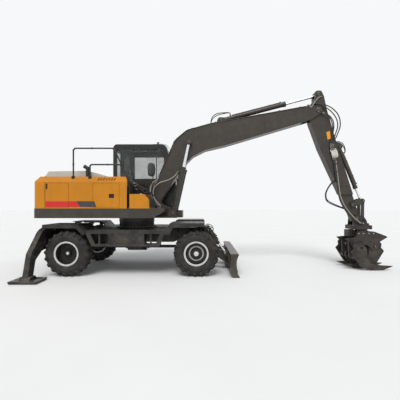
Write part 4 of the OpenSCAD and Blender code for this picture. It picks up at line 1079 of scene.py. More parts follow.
def mirror_on(centre, way, arm, width=0.20):
    """Mirror in a rounded shell: superellipse plates of falling size behind the glass, and its tube arm."""
    centre, way = np.asarray(centre, float), np.asarray(way, float) / np.linalg.norm(way)
    side = np.cross(way, [0, 0, 1.0])
    side /= np.linalg.norm(side)
    a = np.linspace(0, 2 * math.pi, 36, endpoint=False)
    flat = squared(a, 0.7) * [width / 2, 0.34 / 2]
    up = np.array([0, 0, 1.0])
    ring = lambda size, depth: centre + (flat * size)[:, :1] * side + (flat * size)[:, 1:] * up - way * depth
    steps = ((0.93, 0.0), (1, -0.002), (1, 0.012), (0.96, 0.03), (0.8, 0.045), (0.4, 0.054))
    shell = closed_part(np.array([ring(size, depth) for size, depth in steps]))
    glass = closed_part(np.array([ring(0.90, -0.0015), ring(0.90, -0.003)]))
    return {"cab plastic": [shell], "lamp mirror": [glass], "black paint": [tube(arm, 0.011, 8, 12)]}


class EXCAVATOR_OT_cab_outside(bpy.types.Operator):
    """Fit out the cab: seals, roof lid, lamps, visor, wiper, mirrors and grab rail, and the door's own fittings."""

    bl_idname = "excavator.cab_outside"
    bl_label = "Cab outside"

    def execute(self, context):
        side_window = rounded([
            (-0.640, 2.340, 0.03), (-0.640, 3.180, 0.06), (0.600, 3.180, 0.08), (0.850, 2.350, 0.06),
            (0.860, 2.340, 0)])
        loop = lambda line, y: tube(in_plane(np.vstack([line, line[:1]]), y), 0.0085, 0, 8)
        rear = rounded([(0.460, 2.34, 0.03), (1.115, 2.34, 0.03), (1.115, 3.15, 0.03), (0.460, 3.15, 0.03)])
        rear_path = np.stack([np.full(len(rear), -0.7425), rear[:, 0], rear[:, 1]], -1)
        seals = [loop(side_window, CAB_IN - 0.001), tube(np.vstack([rear_path, rear_path[:1]]), 0.0085, 0, 8)]
        lid = [brick((-0.33, 0.49, 3.299), (0.38, 1.09, 3.312), 0.004)]
        visor = [
            (0.36, 3.322), (0.58, 3.334), (0.70, 3.318), (0.79, 3.262), (0.85, 3.150), (0.842, 3.146), (0.782, 3.252),
            (0.695, 3.308), (0.58, 3.325), (0.36, 3.314)]
        shade_plate = [slab(visor, 0.42, 1.16, "y", 0.001)]
        stays = [rod((x, y, 3.295), (x, y, 3.318), 0.008, 10) for x in (0.40, 0.56) for y in (0.47, 1.11)]
        base = (1.004, 0.66, 1.850)
        wiper = [tube([base, (1.020, 0.68, 1.90), (1.022, 0.74, 2.10), (1.006, 0.80, 2.28)], 0.007, 6, 8),
                 tube([(1.012, 0.80, 2.02), (1.006, 0.80, 2.24), (0.985, 0.80, 2.48)], 0.006, 8, 6),
                 rod((0.985, 0.66, 1.85), (1.012, 0.66, 1.85), 0.022, 20)]
        rail = [tube([
            (0.74, 1.213, 1.80), (0.74, 1.255, 1.83), (0.74, 1.262, 2.20), (0.74, 1.255, 2.62), (0.74, 1.213, 2.65)
        ], 0.012, 8, 12)]
        lamps = joined(*(lamp((0.50, y, 3.352), 0.032, (1, 0, -0.25), 0.040) for y in (0.50, 1.08)))
        brackets = [rod((0.480, y, 3.298), (0.480, y, 3.335), 0.009, 10) for y in (0.50, 1.08)]
        add_piece("cab_fittings", joined(
            {"hose rubber": seals + wiper, "cab paint": lid + stays + brackets + rail, "lamp glass": shade_plate},
            lamps,
            mirror_on((1.03, 1.43, 2.48), (-1, -0.35, 0), [
                (0.93, 1.20, 2.70), (0.98, 1.30, 2.72), (1.045, 1.42, 2.70), (1.055, 1.44, 2.60), (1.06, 1.435, 2.50)
            ]),
            mirror_on((0.452, -0.475, 2.50), (-0.75, 0.66, 0), [
                (0.40, -0.475, 1.866), (0.40, -0.475, 2.05), (0.47, -0.480, 2.18), (0.50, -0.490, 2.34),
                (0.475, -0.492, 2.50)], 0.22),
            {"black paint": [lathed([(0.035, 0), (0.035, 0.008)], (0.40, -0.475, 1.868), "z", 16)]}), "upper")
        door_loop = tube(in_plane(np.vstack([DOOR_WINDOW, DOOR_WINDOW[:1]]), CAB_OUT + 0.0005), 0.008, 0, 8)
        handle = tube([
            (0.560, 1.214, 2.02), (0.560, 1.240, 2.03), (0.560, 1.244, 2.08), (0.560, 1.240, 2.12),
            (0.560, 1.214, 2.13)], 0.009, 6, 10)
        lock = slab(rectangle(0.525, 0.595, 1.985, 2.145, 0.02), 1.2145, 1.2175, "y", 0.001)
        hinges = [rod((-0.452, 1.222, z - 0.05), (-0.452, 1.222, z + 0.05), 0.011, 16) for z in (1.95, 2.95)]
        divider = slab(rectangle(0.310, 0.335, 2.145, 3.075), 1.186, 1.203, "y", 0.003)
        lining = slab(rectangle(-0.40, 0.58, 1.82, 2.12, 0.03), 1.1675, 1.1755, "y", 0.003)
        pull = tube([
            (0.10, 1.169, 2.03), (0.12, 1.140, 2.03), (0.38, 1.140, 2.03), (0.40, 1.169, 2.03)], 0.010, 6, 10)
        add_piece("cab_door_fittings", {
            "hose rubber": [door_loop], "cab plastic": [handle, lock, pull], "cab paint": hinges + [divider],
            "trim cloth grey": [lining]}, "cab_door")
        return {"FINISHED"}


class EXCAVATOR_OT_cab_inside(bpy.types.Operator):
    """Fit out the inside of the cab: linings, fan, radio, monitor, lever grips, wheel hub, pedals and mat."""

    bl_idname = "excavator.cab_inside"
    bl_label = "Cab inside"

    def execute(self, context):
        grey = [
            brick((-0.66, 0.425, 3.235), (-0.31, 1.150, 3.249)), brick((0.36, 0.425, 3.235), (0.60, 1.150, 3.249)),
            brick((-0.31, 0.425, 3.235), (0.36, 0.512, 3.249)), brick((-0.31, 1.071, 3.235), (0.36, 1.150, 3.249)),
            slab(rectangle(0.44, 1.13, 1.66, 2.31, 0.04), -0.694, -0.680, "x", 0.004),
            slab(rectangle(-0.62, 0.90, 1.64, 2.31, 0.06), 0.4135, 0.4225, "y", 0.003),
            slab(rectangle(-0.64, -0.47, 1.66, 3.14, 0.04), 1.146, 1.1575, "y", 0.004)]
        fan_at = np.array([-0.46, 0.60, 3.060])
        guard = [hoop(fan_at, r, 0.005, "y", 36) for r in (0.11, 0.08, 0.045)]
        for a in (0, 0.52, 1.05, 1.57, 2.09, 2.62):
            spoke = np.array([0.11 * math.cos(a), 0, 0.11 * math.sin(a)])
            guard.append(rod(fan_at - spoke, fan_at + spoke, 0.003, 6))
        fan = [
            rod(fan_at - [0, 0.01, 0], fan_at + [0, 0.06, 0], 0.035, 20),
            tube([fan_at + [0, 0.05, 0], fan_at + [0, 0.06, 0.08], fan_at + [0, 0.06, 0.185]], 0.010, 6, 10)]
        blade = slab([(0.02, -0.02), (0.095, -0.035), (0.098, 0.02), (0.03, 0.022)], -0.002, 0.002, "y", 0.0005)
        blades = [turned(blade, ORIGIN, (0, 1, 0), 90 * k) for k in range(4)]
        blades = [(points + fan_at + [0, 0.018, 0], faces) for points, faces in blades]
        radio = [brick((-0.08, 0.47, 3.140), (0.18, 0.66, 3.236), 0.006)]
        knobs = [rod((-0.08, y, 3.185), (-0.098, y, 3.185), 0.014, 16) for y in (0.50, 0.63)]
        screen = turned(brick((0.700, 0.455, 2.20), (0.735, 0.615, 2.42), 0.008), (0.72, 0.535, 2.3), (0, 0, 1), -20)
        face = turned(
            slab(rectangle(0.467, 0.603, 2.215, 2.405, 0.008), 0.6975, 0.6995, "x", 0.0005), (0.72, 0.535, 2.3),
            (0, 0, 1), -20)
        stand = [tube([(0.80, 0.47, 1.90), (0.77, 0.50, 2.10), (0.73, 0.535, 2.21)], 0.012, 6, 10)]
        grips, boots = [], []
        for y in (CAB_MID - 0.292, CAB_MID + 0.292):
            lean = lambda z: 0.20 + 0.03 * (z - 2.08) / 0.22
            line = np.array([(lean(z), y, z) for z in np.linspace(2.225, 2.365, 9)])
            size = np.array([0.018, 0.022, 0.023, 0.021, 0.020, 0.023, 0.027, 0.026, 0.014])
            ring = np.insert(circle(1.0, 16), 2, 0, axis=1)
            grips.append(closed_part(line[:, None] + ring[None] * size[:, None, None]))
            boots.append(lathed(
                [(0.048 - 0.006 * k + (0.008 if k % 2 else 0), 0.009 * k) for k in range(8)], (0.203, y, 2.078), "z",
                20))
        consoles = [
            brick((-0.24, y - 0.034, 2.079), (0.16, y + 0.034, 2.088), 0.002)
            for y in (CAB_MID - 0.2925, CAB_MID + 0.2925)]
        buttons = [
            rod((x, CAB_MID - 0.2925 + d, 2.087), (x, CAB_MID - 0.2925 + d, 2.094), 0.007, 10)
            for x in np.arange(-0.05, 0.13, 0.035) for d in (-0.016, 0.016)]
        wheel_at = np.array([0.500, CAB_MID, 2.220])
        column = [turned(
            lathed([(0.045, -0.02), (0.045, 0.012), (0.030, 0.022)], wheel_at, "z", 24), wheel_at, (0, 1, 0), -20)]
        pods = [
            rod(wheel_at + [0.03, s * 0.03, -0.06], wheel_at + [0.02, s * 0.15, -0.045], 0.008, 8) for s in (-1, 1)]
        pedals = [
            turned(brick(
                (0.70, CAB_MID + d - 0.045, 1.70), (0.83, CAB_MID + d + 0.045, 1.712), 0.004
            ), (0.83, CAB_MID, 1.70), (0, 1, 0), 35)
            for d in (-0.17, 0.17)]
        pedals += [rod((0.78, CAB_MID + d, 1.60), (0.78, CAB_MID + d, 1.70), 0.010, 10) for d in (-0.17, 0.17)]
        mat = [brick((-0.60, 0.44, 1.595), (0.88, 1.14, 1.601), 0.001)]
        add_piece("cab_interior", {
            "trim cloth grey": grey,
            "cab plastic": guard + fan + blades + radio + stand + column + pods + [screen] + consoles,
            "hose rubber": grips + boots + pedals + mat, "black hole": [face], "zinc fitting": knobs + buttons
        }, "upper")
        return {"FINISHED"}


def pad_cage(length, width, height):
    """Boxy pad: rings of superellipses, whose size shrinks to half towards top and bottom."""
    flat = squared(np.linspace(0, 2 * math.pi, 64, endpoint=False), 0.42) * [length / 2, width / 2]
    levels = np.sin(np.linspace(-math.pi / 2, math.pi / 2, 15))
    size = np.maximum(1 - np.abs(levels) ** 4, 0) ** 0.25
    size = np.where(size < 0.5, 0.5, size)
    heights = np.broadcast_to((levels * height / 2)[:, None, None], (15, 64, 1))
    return closed_part(np.concatenate([flat[None] * size[:, None, None], heights], -1))


def swollen(piece, cap):
    """Cloth blown up by pressure for 20 frames from the remeshed cage, each point moved at most the cap."""
    scene = bpy.context.scene
    remesh = piece.modifiers.new("remesh", "REMESH")
    remesh.mode, remesh.voxel_size = "VOXEL", 0.006
    scene.frame_set(1)
    evaluated = piece.evaluated_get(bpy.context.evaluated_depsgraph_get())
    mesh = bpy.data.meshes.new_from_object(evaluated)
    piece.modifiers.clear()
    piece.data = mesh
    rest = np.empty(len(mesh.vertices) * 3)
    mesh.vertices.foreach_get("co", rest)
    cloth = piece.modifiers.new("cloth", "CLOTH")
    cloth.settings.use_pressure = True
    cloth.settings.uniform_pressure_force = 4.0
    cloth.settings.effector_weights.gravity = 0.0
    cloth.point_cache.frame_start, cloth.point_cache.frame_end = 1, 20
    for moment in range(1, 21):
        scene.frame_set(moment)
    evaluated = piece.evaluated_get(bpy.context.evaluated_depsgraph_get())
    blown = np.empty(len(mesh.vertices) * 3)
    evaluated.data.vertices.foreach_get("co", blown)
    move = (blown - rest).reshape(-1, 3)
    far = np.linalg.norm(move, axis=1)[:, None]
    move *= np.minimum(1, cap / np.maximum(far, 1e-9))
    piece.modifiers.clear()
    mesh.vertices.foreach_set("co", (rest.reshape(-1, 3) + move).ravel())
    mesh.update()
    scene.frame_set(1)
    return piece


def seat_pad(name, size, centre, lean, channels):
    """Pad of the seat: a cage blown up as cloth, channels pressed into its upper face, leant back, and smoothed."""
    piece = swollen(add_piece(name, {"seat cloth": [pad_cage(*size)]}, crease=80), 0.007)
    mesh = piece.data
    points = np.empty(len(mesh.vertices) * 3)
    mesh.vertices.foreach_get("co", points)
    points = points.reshape(-1, 3)
    upper = np.clip(points[:, 2] / (size[2] / 2), 0, 1)
    for axis, place in channels:
        points[:, 2] -= 0.010 * upper * np.exp(-((points[:, axis] - place) / 0.007) ** 2)
    c, s = math.cos(math.radians(lean)), math.sin(math.radians(lean))
    points = np.stack([
        points[:, 0] * c - points[:, 2] * s, points[:, 1], points[:, 0] * s + points[:, 2] * c], -1) + centre
    mesh.vertices.foreach_set("co", points.ravel())
    mesh.update()
    mesh.materials.clear()
    mesh.materials.append(scene_finishes()["seat cloth"])
    mesh.shade_smooth()
    smooth = piece.modifiers.new("smooth", "SUBSURF")
    smooth.levels = smooth.render_levels = 1
    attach(piece, "upper")
    return piece


class EXCAVATOR_OT_seat(bpy.types.Operator):
    """Make the seat: padded cushion, back and headrest on a base with bellows, armrests and a belt buckle."""

    bl_idname = "excavator.seat"
    bl_label = "Seat"

    def execute(self, context):
        cushion = seat_pad(
            "seat_cushion", (0.515, 0.462, 0.125), (-0.115, CAB_MID, 1.920), 4, [(1, -0.13), (1, 0.13), (0, 0.10)])
        back = seat_pad(
            "seat_back", (0.500, 0.440, 0.105), (-0.362, CAB_MID, 2.245), 100, [(1, -0.12), (1, 0.12), (0, 0.02)]
        )
        head = seat_pad("seat_headrest", (0.145, 0.270, 0.090), (-0.424, CAB_MID, 2.590), 100, [])
        flat = squared(np.linspace(0, 2 * math.pi, 48, endpoint=False), 0.35)
        folds = np.array([(0.205 + 0.018 * (k % 2), 1.655 + 0.016 * k) for k in range(10)])
        bellows = closed_part(np.array([
            np.insert(flat * [w, w * 0.9], 2, z, axis=1) + [-0.10, CAB_MID, 0] for w, z in folds]))
        plates = [
            brick((-0.32, CAB_MID - 0.19, 1.597), (0.12, CAB_MID + 0.19, 1.652), 0.006),
            brick((-0.34, CAB_MID - 0.20, 1.805), (0.13, CAB_MID + 0.20, 1.858), 0.008)]
        shell = slab(
            [(-0.395, 1.96), (-0.505, 2.52), (-0.480, 2.53), (-0.370, 1.98)], CAB_MID - 0.20, CAB_MID + 0.20, "y",
            0.006)
        posts = [rod((-0.443, CAB_MID + d, 2.49), (-0.462, CAB_MID + d, 2.60), 0.007, 10) for d in (-0.05, 0.05)]
        arms = [
            slab(rectangle(-0.36, -0.02, 2.110, 2.150, 0.015), CAB_MID + d - 0.026, CAB_MID + d + 0.026, "y", 0.006)
            for d in (-0.268, 0.268)]
        links = [
            rod((-0.375, CAB_MID + d * 0.74, 2.13), (-0.345, CAB_MID + d, 2.13), 0.012, 10) for d in (-0.268, 0.268)]
        belt = [brick((-0.21, CAB_MID + 0.236, 1.90), (-0.17, CAB_MID + 0.250, 1.985), 0.002)]
        frame_piece = add_piece("seat_frame", {
            "hose rubber": [bellows], "cab plastic": plates + [shell] + arms + belt, "bare steel": posts + links
        }, "upper")
        for piece in (cushion, back, head, frame_piece):
            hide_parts("seat")
        return {"FINISHED"}


BOOM_TOP = [(0.640, 2.4190, 0), (1.030, 3.290, 0.30), (1.330, 3.540, 0.25), (1.960, 3.715, 0.40), (4.420, 4.1545, 0)]
BOOM_EDGE = [
    (0.345, 1.76, 0.09), (1.03, 3.29, 0.30), (1.33, 3.54, 0.25), (1.96, 3.715, 0.40), (4.62, 4.19, 0),
    (4.80, 4.18, 0.08), (4.83, 4.04, 0.08), (4.74, 3.955, 0.08), (4.50, 3.82, 0), (2.30, 3.165, 0.50),
    (1.80, 3.05, 0.25), (1.48, 2.89, 0.25), (1.18, 2.59, 0.25), (0.60, 1.65, 0.09), (0.42, 1.62, 0.09)]
ARM_EDGE = [
    (4.64, 4.59, 0.06), (4.80, 4.59, 0.07), (4.87, 4.44, 0.10), (4.935, 4.12, 0.30), (5.03, 3.80, 0.30),
    (5.155, 3.36, 0.30), (5.56, 2.095, 0), (5.23, 2.095, 0), (4.77, 3.08, 0.40), (4.51, 3.79, 0.12),
    (4.56, 4.07, 0.20), (4.63, 4.33, 0)]


def weld(edge, y, keep_off=None, depth=0.016, radius=0.0055):
    """Weld bead on a side plate, a little inside its outline; it stops within the given (x, z, radius)."""
    line = inset(rounded(edge), depth)
    line = np.vstack([line, line[:1]])
    if keep_off:
        line = line[np.hypot(line[:, 0] - keep_off[0], line[:, 1] - keep_off[1]) > keep_off[2]]
    return tube(in_plane(line, y), radius, 0, 6)


class EXCAVATOR_OT_boom_fittings(bpy.types.Operator):
    """Lay the boom's pipes on their clamps, with weld beads, pin ends, a lamp and the pipes of its cylinders."""

    bl_idname = "excavator.boom_fittings"
    bl_label = "Boom fittings"

    def execute(self, context):
        line = shifted(rounded(BOOM_TOP, closed=False, steps=9), 0.022)
        pipes = [tube(in_plane(line, y), 0.0125, 0, 12) for y in (-0.152, -0.118, 0.118, 0.152)]
        reach = np.concatenate([[0], np.cumsum(np.linalg.norm(np.diff(line, axis=0), axis=1))])
        clamps, heads = [], []
        for share in (0.05, 0.20, 0.33, 0.47, 0.60, 0.72, 0.84, 0.96):
            x, z = (float(np.interp(share * reach[-1], reach, line[:, k])) for k in (0, 1))
            before = [float(np.interp(share * reach[-1] - 0.03, reach, line[:, k])) for k in (0, 1)]
            tilt = -math.degrees(math.atan2(z - before[1], x - before[0]))
            for side in (-1, 1):
                low, high = sorted((side * 0.098, side * 0.168))
                clamp = brick((x - 0.02, low, z - 0.024), (x + 0.02, high, z + 0.019), 0.004)
                clamps.append(turned(clamp, (x, 0, z), (0, 1, 0), tilt))
                head = bolts([(x, side * 0.135, z + 0.019)], 0.007, 0.008, "z", 1)
                heads += [turned(part, (x, 0, z), (0, 1, 0), tilt) for part in head]
        beads = [weld(BOOM_EDGE, side * BOOM_SIDE) for side in (-1, 1)]
        seam = [
            tube(in_plane([(1.05, 2.43), (0.80, 2.60), (0.722, 2.655)], side * BOOM_SIDE), 0.004, 0, 6)
            for side in (-1, 1)]
        seam += [tube(in_plane([(3.30, 3.925), (3.34, 3.50)], side * BOOM_SIDE), 0.004, 0, 6) for side in (-1, 1)]
        pins = pin_pairs([(BOOM_TIP, 0.182, 0.050), (PUSH_FOOT, 0.102, 0.034)])
        fixings = bolts(around(at_y(BOOM_TIP, -0.182), 0.062, np.arange(6) * 1.047), 0.006, 0.006)
        bulkhead = [
            slab(rectangle(4.425, 4.455, 4.135, 4.215, 0.006), side * 0.153 - 0.017, side * 0.153 + 0.017, "y", 0.004)
            for side in (-1, 1)]
        light = lamp((1.66, 0.235, 3.36), 0.05, (1, 0, -0.45))
        bracket = [rod((1.60, 0.168, 3.37), (1.60, 0.235, 3.375), 0.012, 10)]
        add_piece("boom_fittings", joined({
            "graphite paint": pipes + clamps + beads + seam + bulkhead + bracket, "zinc fitting": heads + fixings
        }, pins, light), "boom")
        for side, name in SIDES:
            y = side * LIFT_Y
            dress = barrel_dress(at_y(LIFT_FOOT, y), at_y(BOOM_LIFT, y), 1.195, 0.062, 0.036, (-1, 0, 0.2))
            add_piece(f"{name}_boom_barrel_fittings", dress, "boom_barrel")
            pin = pin_end(at_y(BOOM_LIFT, side * 0.3155), 0.034, "y", side)
            add_piece(f"{name}_boom_rod_pin", pin, "boom_rod")
        dress = barrel_dress(
            at_y(PUSH_FOOT), at_y(ARM_PUSH), 1.755, 0.062, 0.036, (-0.25, 0, 1), (0.25, 0.5, 0.75))
        add_piece("arm_barrel_fittings", dress, "arm_barrel")
        add_piece("boom_foot_pins", pin_pairs([(BOOM_FOOT, 0.212, 0.040), (LIFT_FOOT, 0.3685, 0.036)]), "upper")
        return {"FINISHED"}


class EXCAVATOR_OT_boom_hoses(bpy.types.Operator):
    """Hang the hoses of the boom's foot and of the boom and arm cylinders, and the loops from the boom to the arm."""

    bl_idname = "excavator.boom_hoses"
    bl_label = "Boom hoses"

    def execute(self, context):
        start = shifted(rounded(BOOM_TOP, closed=False, steps=9), 0.022)[0]
        climb = np.array([0.4087, 0.9128])  # the way the pipes go at their foot
        near, end = start - climb * 0.03, start - climb * 0.11
        lines = []
        for k, (y, low_y) in enumerate(((-0.118, -0.238), (-0.152, -0.268), (0.118, 0.238), (0.152, 0.268))):
            x = 0.585 + 0.032 * (k % 2)
            lines.append([
                (x, low_y, 1.546), (x - 0.012, low_y, 1.60), (x - 0.085, low_y, 1.70),
                (0.405 + 0.02 * (k % 2), low_y, 1.84), (0.395, low_y, 2.02), (0.435, (low_y + y) / 2, 2.19),
                (end[0] - 0.02, y, end[1] - 0.045), at_y(near, y), at_y(start, y)])
        hoses("boom_foot_hoses", lines, 0.0155, "pale hose", ("upper", "boom"), (0.42, 0, 1.70))
        for side, name in SIDES:
            line = [(x, side * y, z) for x, y, z in (
                (0.660, 0.300, 1.546), (0.640, 0.300, 1.62), (0.500, 0.300, 1.80), (0.480, 0.295, 2.02),
                (0.620, 0.285, 2.18), (0.860, 0.275, 2.265), (1.010, LIFT_Y, 2.36), (1.085, LIFT_Y, 2.455),
                (1.123, LIFT_Y, 2.489))]
            hoses(
                f"{name}_boom_cylinder_hose", [line], 0.013, "pale hose", ("upper", "boom_barrel"), (0.52, 0, 1.75))
        loops = [
            [
                (4.455, -0.152, 4.188), (4.60, -0.160, 4.232), (4.80, -0.195, 4.215), (5.02, -0.212, 4.12),
                (5.20, -0.212, 3.93), (5.255, -0.205, 3.68), (5.19, -0.190, 3.45), (5.115, -0.182, 3.28),
                (5.078, -0.170, 3.135)],
            [
                (4.455, -0.118, 4.188), (4.62, -0.150, 4.245), (4.84, -0.190, 4.16), (5.02, -0.196, 4.03),
                (5.155, -0.196, 3.85), (5.195, -0.190, 3.65), (5.140, -0.180, 3.45), (5.085, -0.172, 3.28),
                (5.048, -0.165, 3.143)],
            [
                (4.80, -0.182, 3.995), (4.90, -0.205, 3.96), (5.02, -0.205, 3.87), (5.085, -0.200, 3.73),
                (5.090, -0.190, 3.57), (5.060, -0.180, 3.40), (5.030, -0.170, 3.26), (5.018, -0.160, 3.152)],
            [
                (4.455, 0.152, 4.188), (4.60, 0.160, 4.232), (4.80, 0.195, 4.215), (5.02, 0.212, 4.12),
                (5.19, 0.212, 3.93), (5.235, 0.205, 3.68), (5.18, 0.190, 3.45), (5.12, 0.150, 3.25),
                (5.10, 0.128, 3.17)],
            [
                (4.455, 0.118, 4.188), (4.62, 0.150, 4.245), (4.84, 0.190, 4.16), (5.02, 0.196, 4.03),
                (5.14, 0.196, 3.85), (5.165, 0.190, 3.65), (5.12, 0.170, 3.45), (5.08, 0.140, 3.28),
                (5.06, 0.128, 3.22)]]
        hoses("arm_hose_loops", loops, 0.0145, "hose rubber", ("boom", "arm"), (4.82, 0, 4.16))
        top = [[
            (4.500, -0.178, 4.110), (4.560, -0.190, 4.200), (4.640, -0.190, 4.320), (4.720, -0.175, 4.400),
            (4.790, -0.150, 4.425), (4.815, -0.128, 4.425)]]
        hoses("arm_top_hose", top, 0.010, "pale hose", ("boom", "arm"), (4.53, 0, 4.15))
        arch = [
            [
                (1.935, y, 3.728), (1.942, y, 3.800), (1.975, y * 0.95, 3.900), (2.060, y * 0.8, 3.985),
                (2.170, y * 0.55, 4.025), (2.300, y * 0.3, 4.045), (2.400, y * 0.08, 4.055), (2.440, 0.0, 4.042),
                (2.4487, 0.0, 4.000)]
            for y in (-0.118, 0.118)]
        hoses(
            "arm_cylinder_hoses", arch, 0.011, "hose rubber", ("boom", "arm_barrel"), (1.99, 0, 3.90)
        )
        return {"FINISHED"}


class EXCAVATOR_OT_arm_fittings(bpy.types.Operator):
    """Fit out the arm: valve block, hoses, weld beads, pins, a plain plate and the tool cylinder's pipes."""

    bl_idname = "excavator.arm_fittings"
    bl_label = "Arm fittings"

    def execute(self, context):
        middle, lean = (5.115, -0.160, 2.955), 16.5
        body = [brick((5.035, -0.196, 2.880), (5.195, -0.129, 3.030), 0.004)]
        stacks = [
            brick((5.045 + 0.05 * k, -0.203, 2.895), (5.083 + 0.05 * k, -0.194, 3.015), 0.002) for k in range(3)]
        unions = [
            rod((5.050 + 0.032 * k, -0.163, near), (5.050 + 0.032 * k, -0.163, far), 0.0125, 6)
            for near, far in ((3.028, 3.075), (2.882, 2.835)) for k in range(5)]
        block = [turned(part, middle, (0, 1, 0), -lean) for part in body + stacks + unions]
        spots = [(x, -0.203, z) for x in (5.060, 5.110, 5.160) for z in (2.91, 3.00)]
        heads = [turned(part, middle, (0, 1, 0), -lean) for part in bolts(spots, 0.006, 0.006)]
        links = [hose(line, 0.012, "hose rubber") for line in (
            [(5.018, -0.160, 3.152), (5.022, -0.162, 3.11), (5.030, -0.163, 3.065)],
            [(5.048, -0.165, 3.143), (5.050, -0.164, 3.10), (5.060, -0.163, 3.055)],
            [(5.078, -0.170, 3.135), (5.082, -0.166, 3.10), (5.092, -0.163, 3.048)])]
        sticker = [slab(
            [(4.928, 3.512), (5.016, 3.538), (5.046, 3.345), (4.958, 3.319)], -0.1312, -0.1298, "y", 0.0003)]
        beads = [weld(ARM_EDGE, side * 0.1305, (*BOOM_TIP, 0.640)) for side in (-1, 1)]
        pins = pin_pairs([
            (ROCKER_PIN, 0.146, 0.034), (TOOL_PIN, 0.150, 0.036), (TOOL_FOOT, 0.088, 0.030), (ARM_PUSH, 0.130, 0.044)
        ])
        loop = [
            [
                (5.165, -0.060, 2.270), (5.095, -0.062, 2.215), (4.985, -0.066, 2.060), (4.925, -0.070, 1.900),
                (4.960, -0.070, 1.735), (5.110, -0.066, 1.640), (5.320, -0.060, 1.560), (5.490, -0.056, 1.500)],
            [
                (5.170, -0.025, 2.250), (5.110, -0.025, 2.190), (5.010, -0.026, 2.050), (4.960, -0.028, 1.900),
                (4.990, -0.030, 1.760), (5.130, -0.028, 1.670), (5.330, -0.026, 1.585), (5.480, -0.024, 1.530)]]
        straps = [
            slab(rectangle(x, x + 0.090, z, z + 0.025, 0.004), -0.185, -0.128, "y", 0.003)
            for x, z in ((5.130, 2.470), (5.100, 2.680))]
        add_piece("arm_fittings", joined(
            {"zinc fitting": block + heads, "amber lens": sticker, "graphite paint": beads, "cab plastic": straps},
            pins, *links, *(hose(line, 0.0125) for line in loop)), "arm")
        runs = []
        for k in range(4):
            x, y = 0.024 * k, -0.150 - 0.008 * (k % 2)
            runs.append([
                (5.075 + x, -0.163, 2.838 - 0.004 * k), (5.092 + x, y, 2.76), (5.125 + x * 0.8, y - 0.006, 2.58),
                (5.160 + x * 0.7, y - 0.008, 2.36), (5.195 + x * 0.6, y - 0.008, 2.12),
                (5.225 + x * 0.6, y - 0.008, 1.90), (5.290 + x * 0.7, y - 0.014, 1.68),
                (5.410 + x * 0.9, y - 0.022, 1.47), (5.560 + x, y - 0.030, 1.29), (5.690 + x, y - 0.022, 1.185),
                (5.775 + x, y - 0.008, 1.150)])
        hoses(
            "grapple_hoses", runs[:3], 0.0115, "hose rubber", ("arm", "grapple_hanger"), (5.42, 0, 1.50))
        # The fourth hose is black rubber given the pale finish: a painted highlight along it.
        hoses(
            "grapple_highlight_hose", runs[3:], 0.0115, "pale hose", ("arm", "grapple_hanger"), (5.42, 0, 1.50))
        dress = barrel_dress(at_y(TOOL_FOOT), at_y(LINK_TOP), 1.179, 0.052, 0.030, (0.9, 0.0, 0.4), (0.35, 0.7))
        add_piece("tool_barrel_fittings", dress, "tool_barrel")
        feed = [
            [
                (5.190, y, 3.235), (5.260, y * 1.2, 3.290), (5.395, y, 3.235), (5.470, y * 0.5, 3.080),
                (5.455, 0.0, 2.990)]
            for y in (-0.035, 0.035)]
        hoses(
            "tool_cylinder_hoses", feed, 0.010, "hose rubber", ("arm", "tool_barrel"), (5.25, 0, 3.27))
        add_piece("rocker_pins", pin_pairs([(LINK_TOP, 0.144, 0.030)]), "rocker")
        return {"FINISHED"}


def chequered(x0, x1, y0, y1, z, pitch=0.035):
    """Raised diamonds on a plate, turned by turns, each a flat pyramid of four faces."""
    diamond = lambda a, b: closed_part(np.array([
        [(a * s, 0, z), (0, b * s, z), (-a * s, 0, z), (0, -b * s, z)] for s, z in ((1.0, 0), (0.55, 0.003))]))
    xs, ys = np.arange(x0 + 0.02, x1 - 0.01, pitch), np.arange(y0 + 0.02, y1 - 0.01, pitch)
    spots = [(x, y, z, (i + j) % 2) for i, x in enumerate(xs) for j, y in enumerate(ys)]
    return [part for kind, (a, b) in enumerate(((0.013, 0.004), (0.004, 0.013)))
            for part in repeated(diamond(a, b), [spot[:3] for spot in spots if spot[3] == kind])]


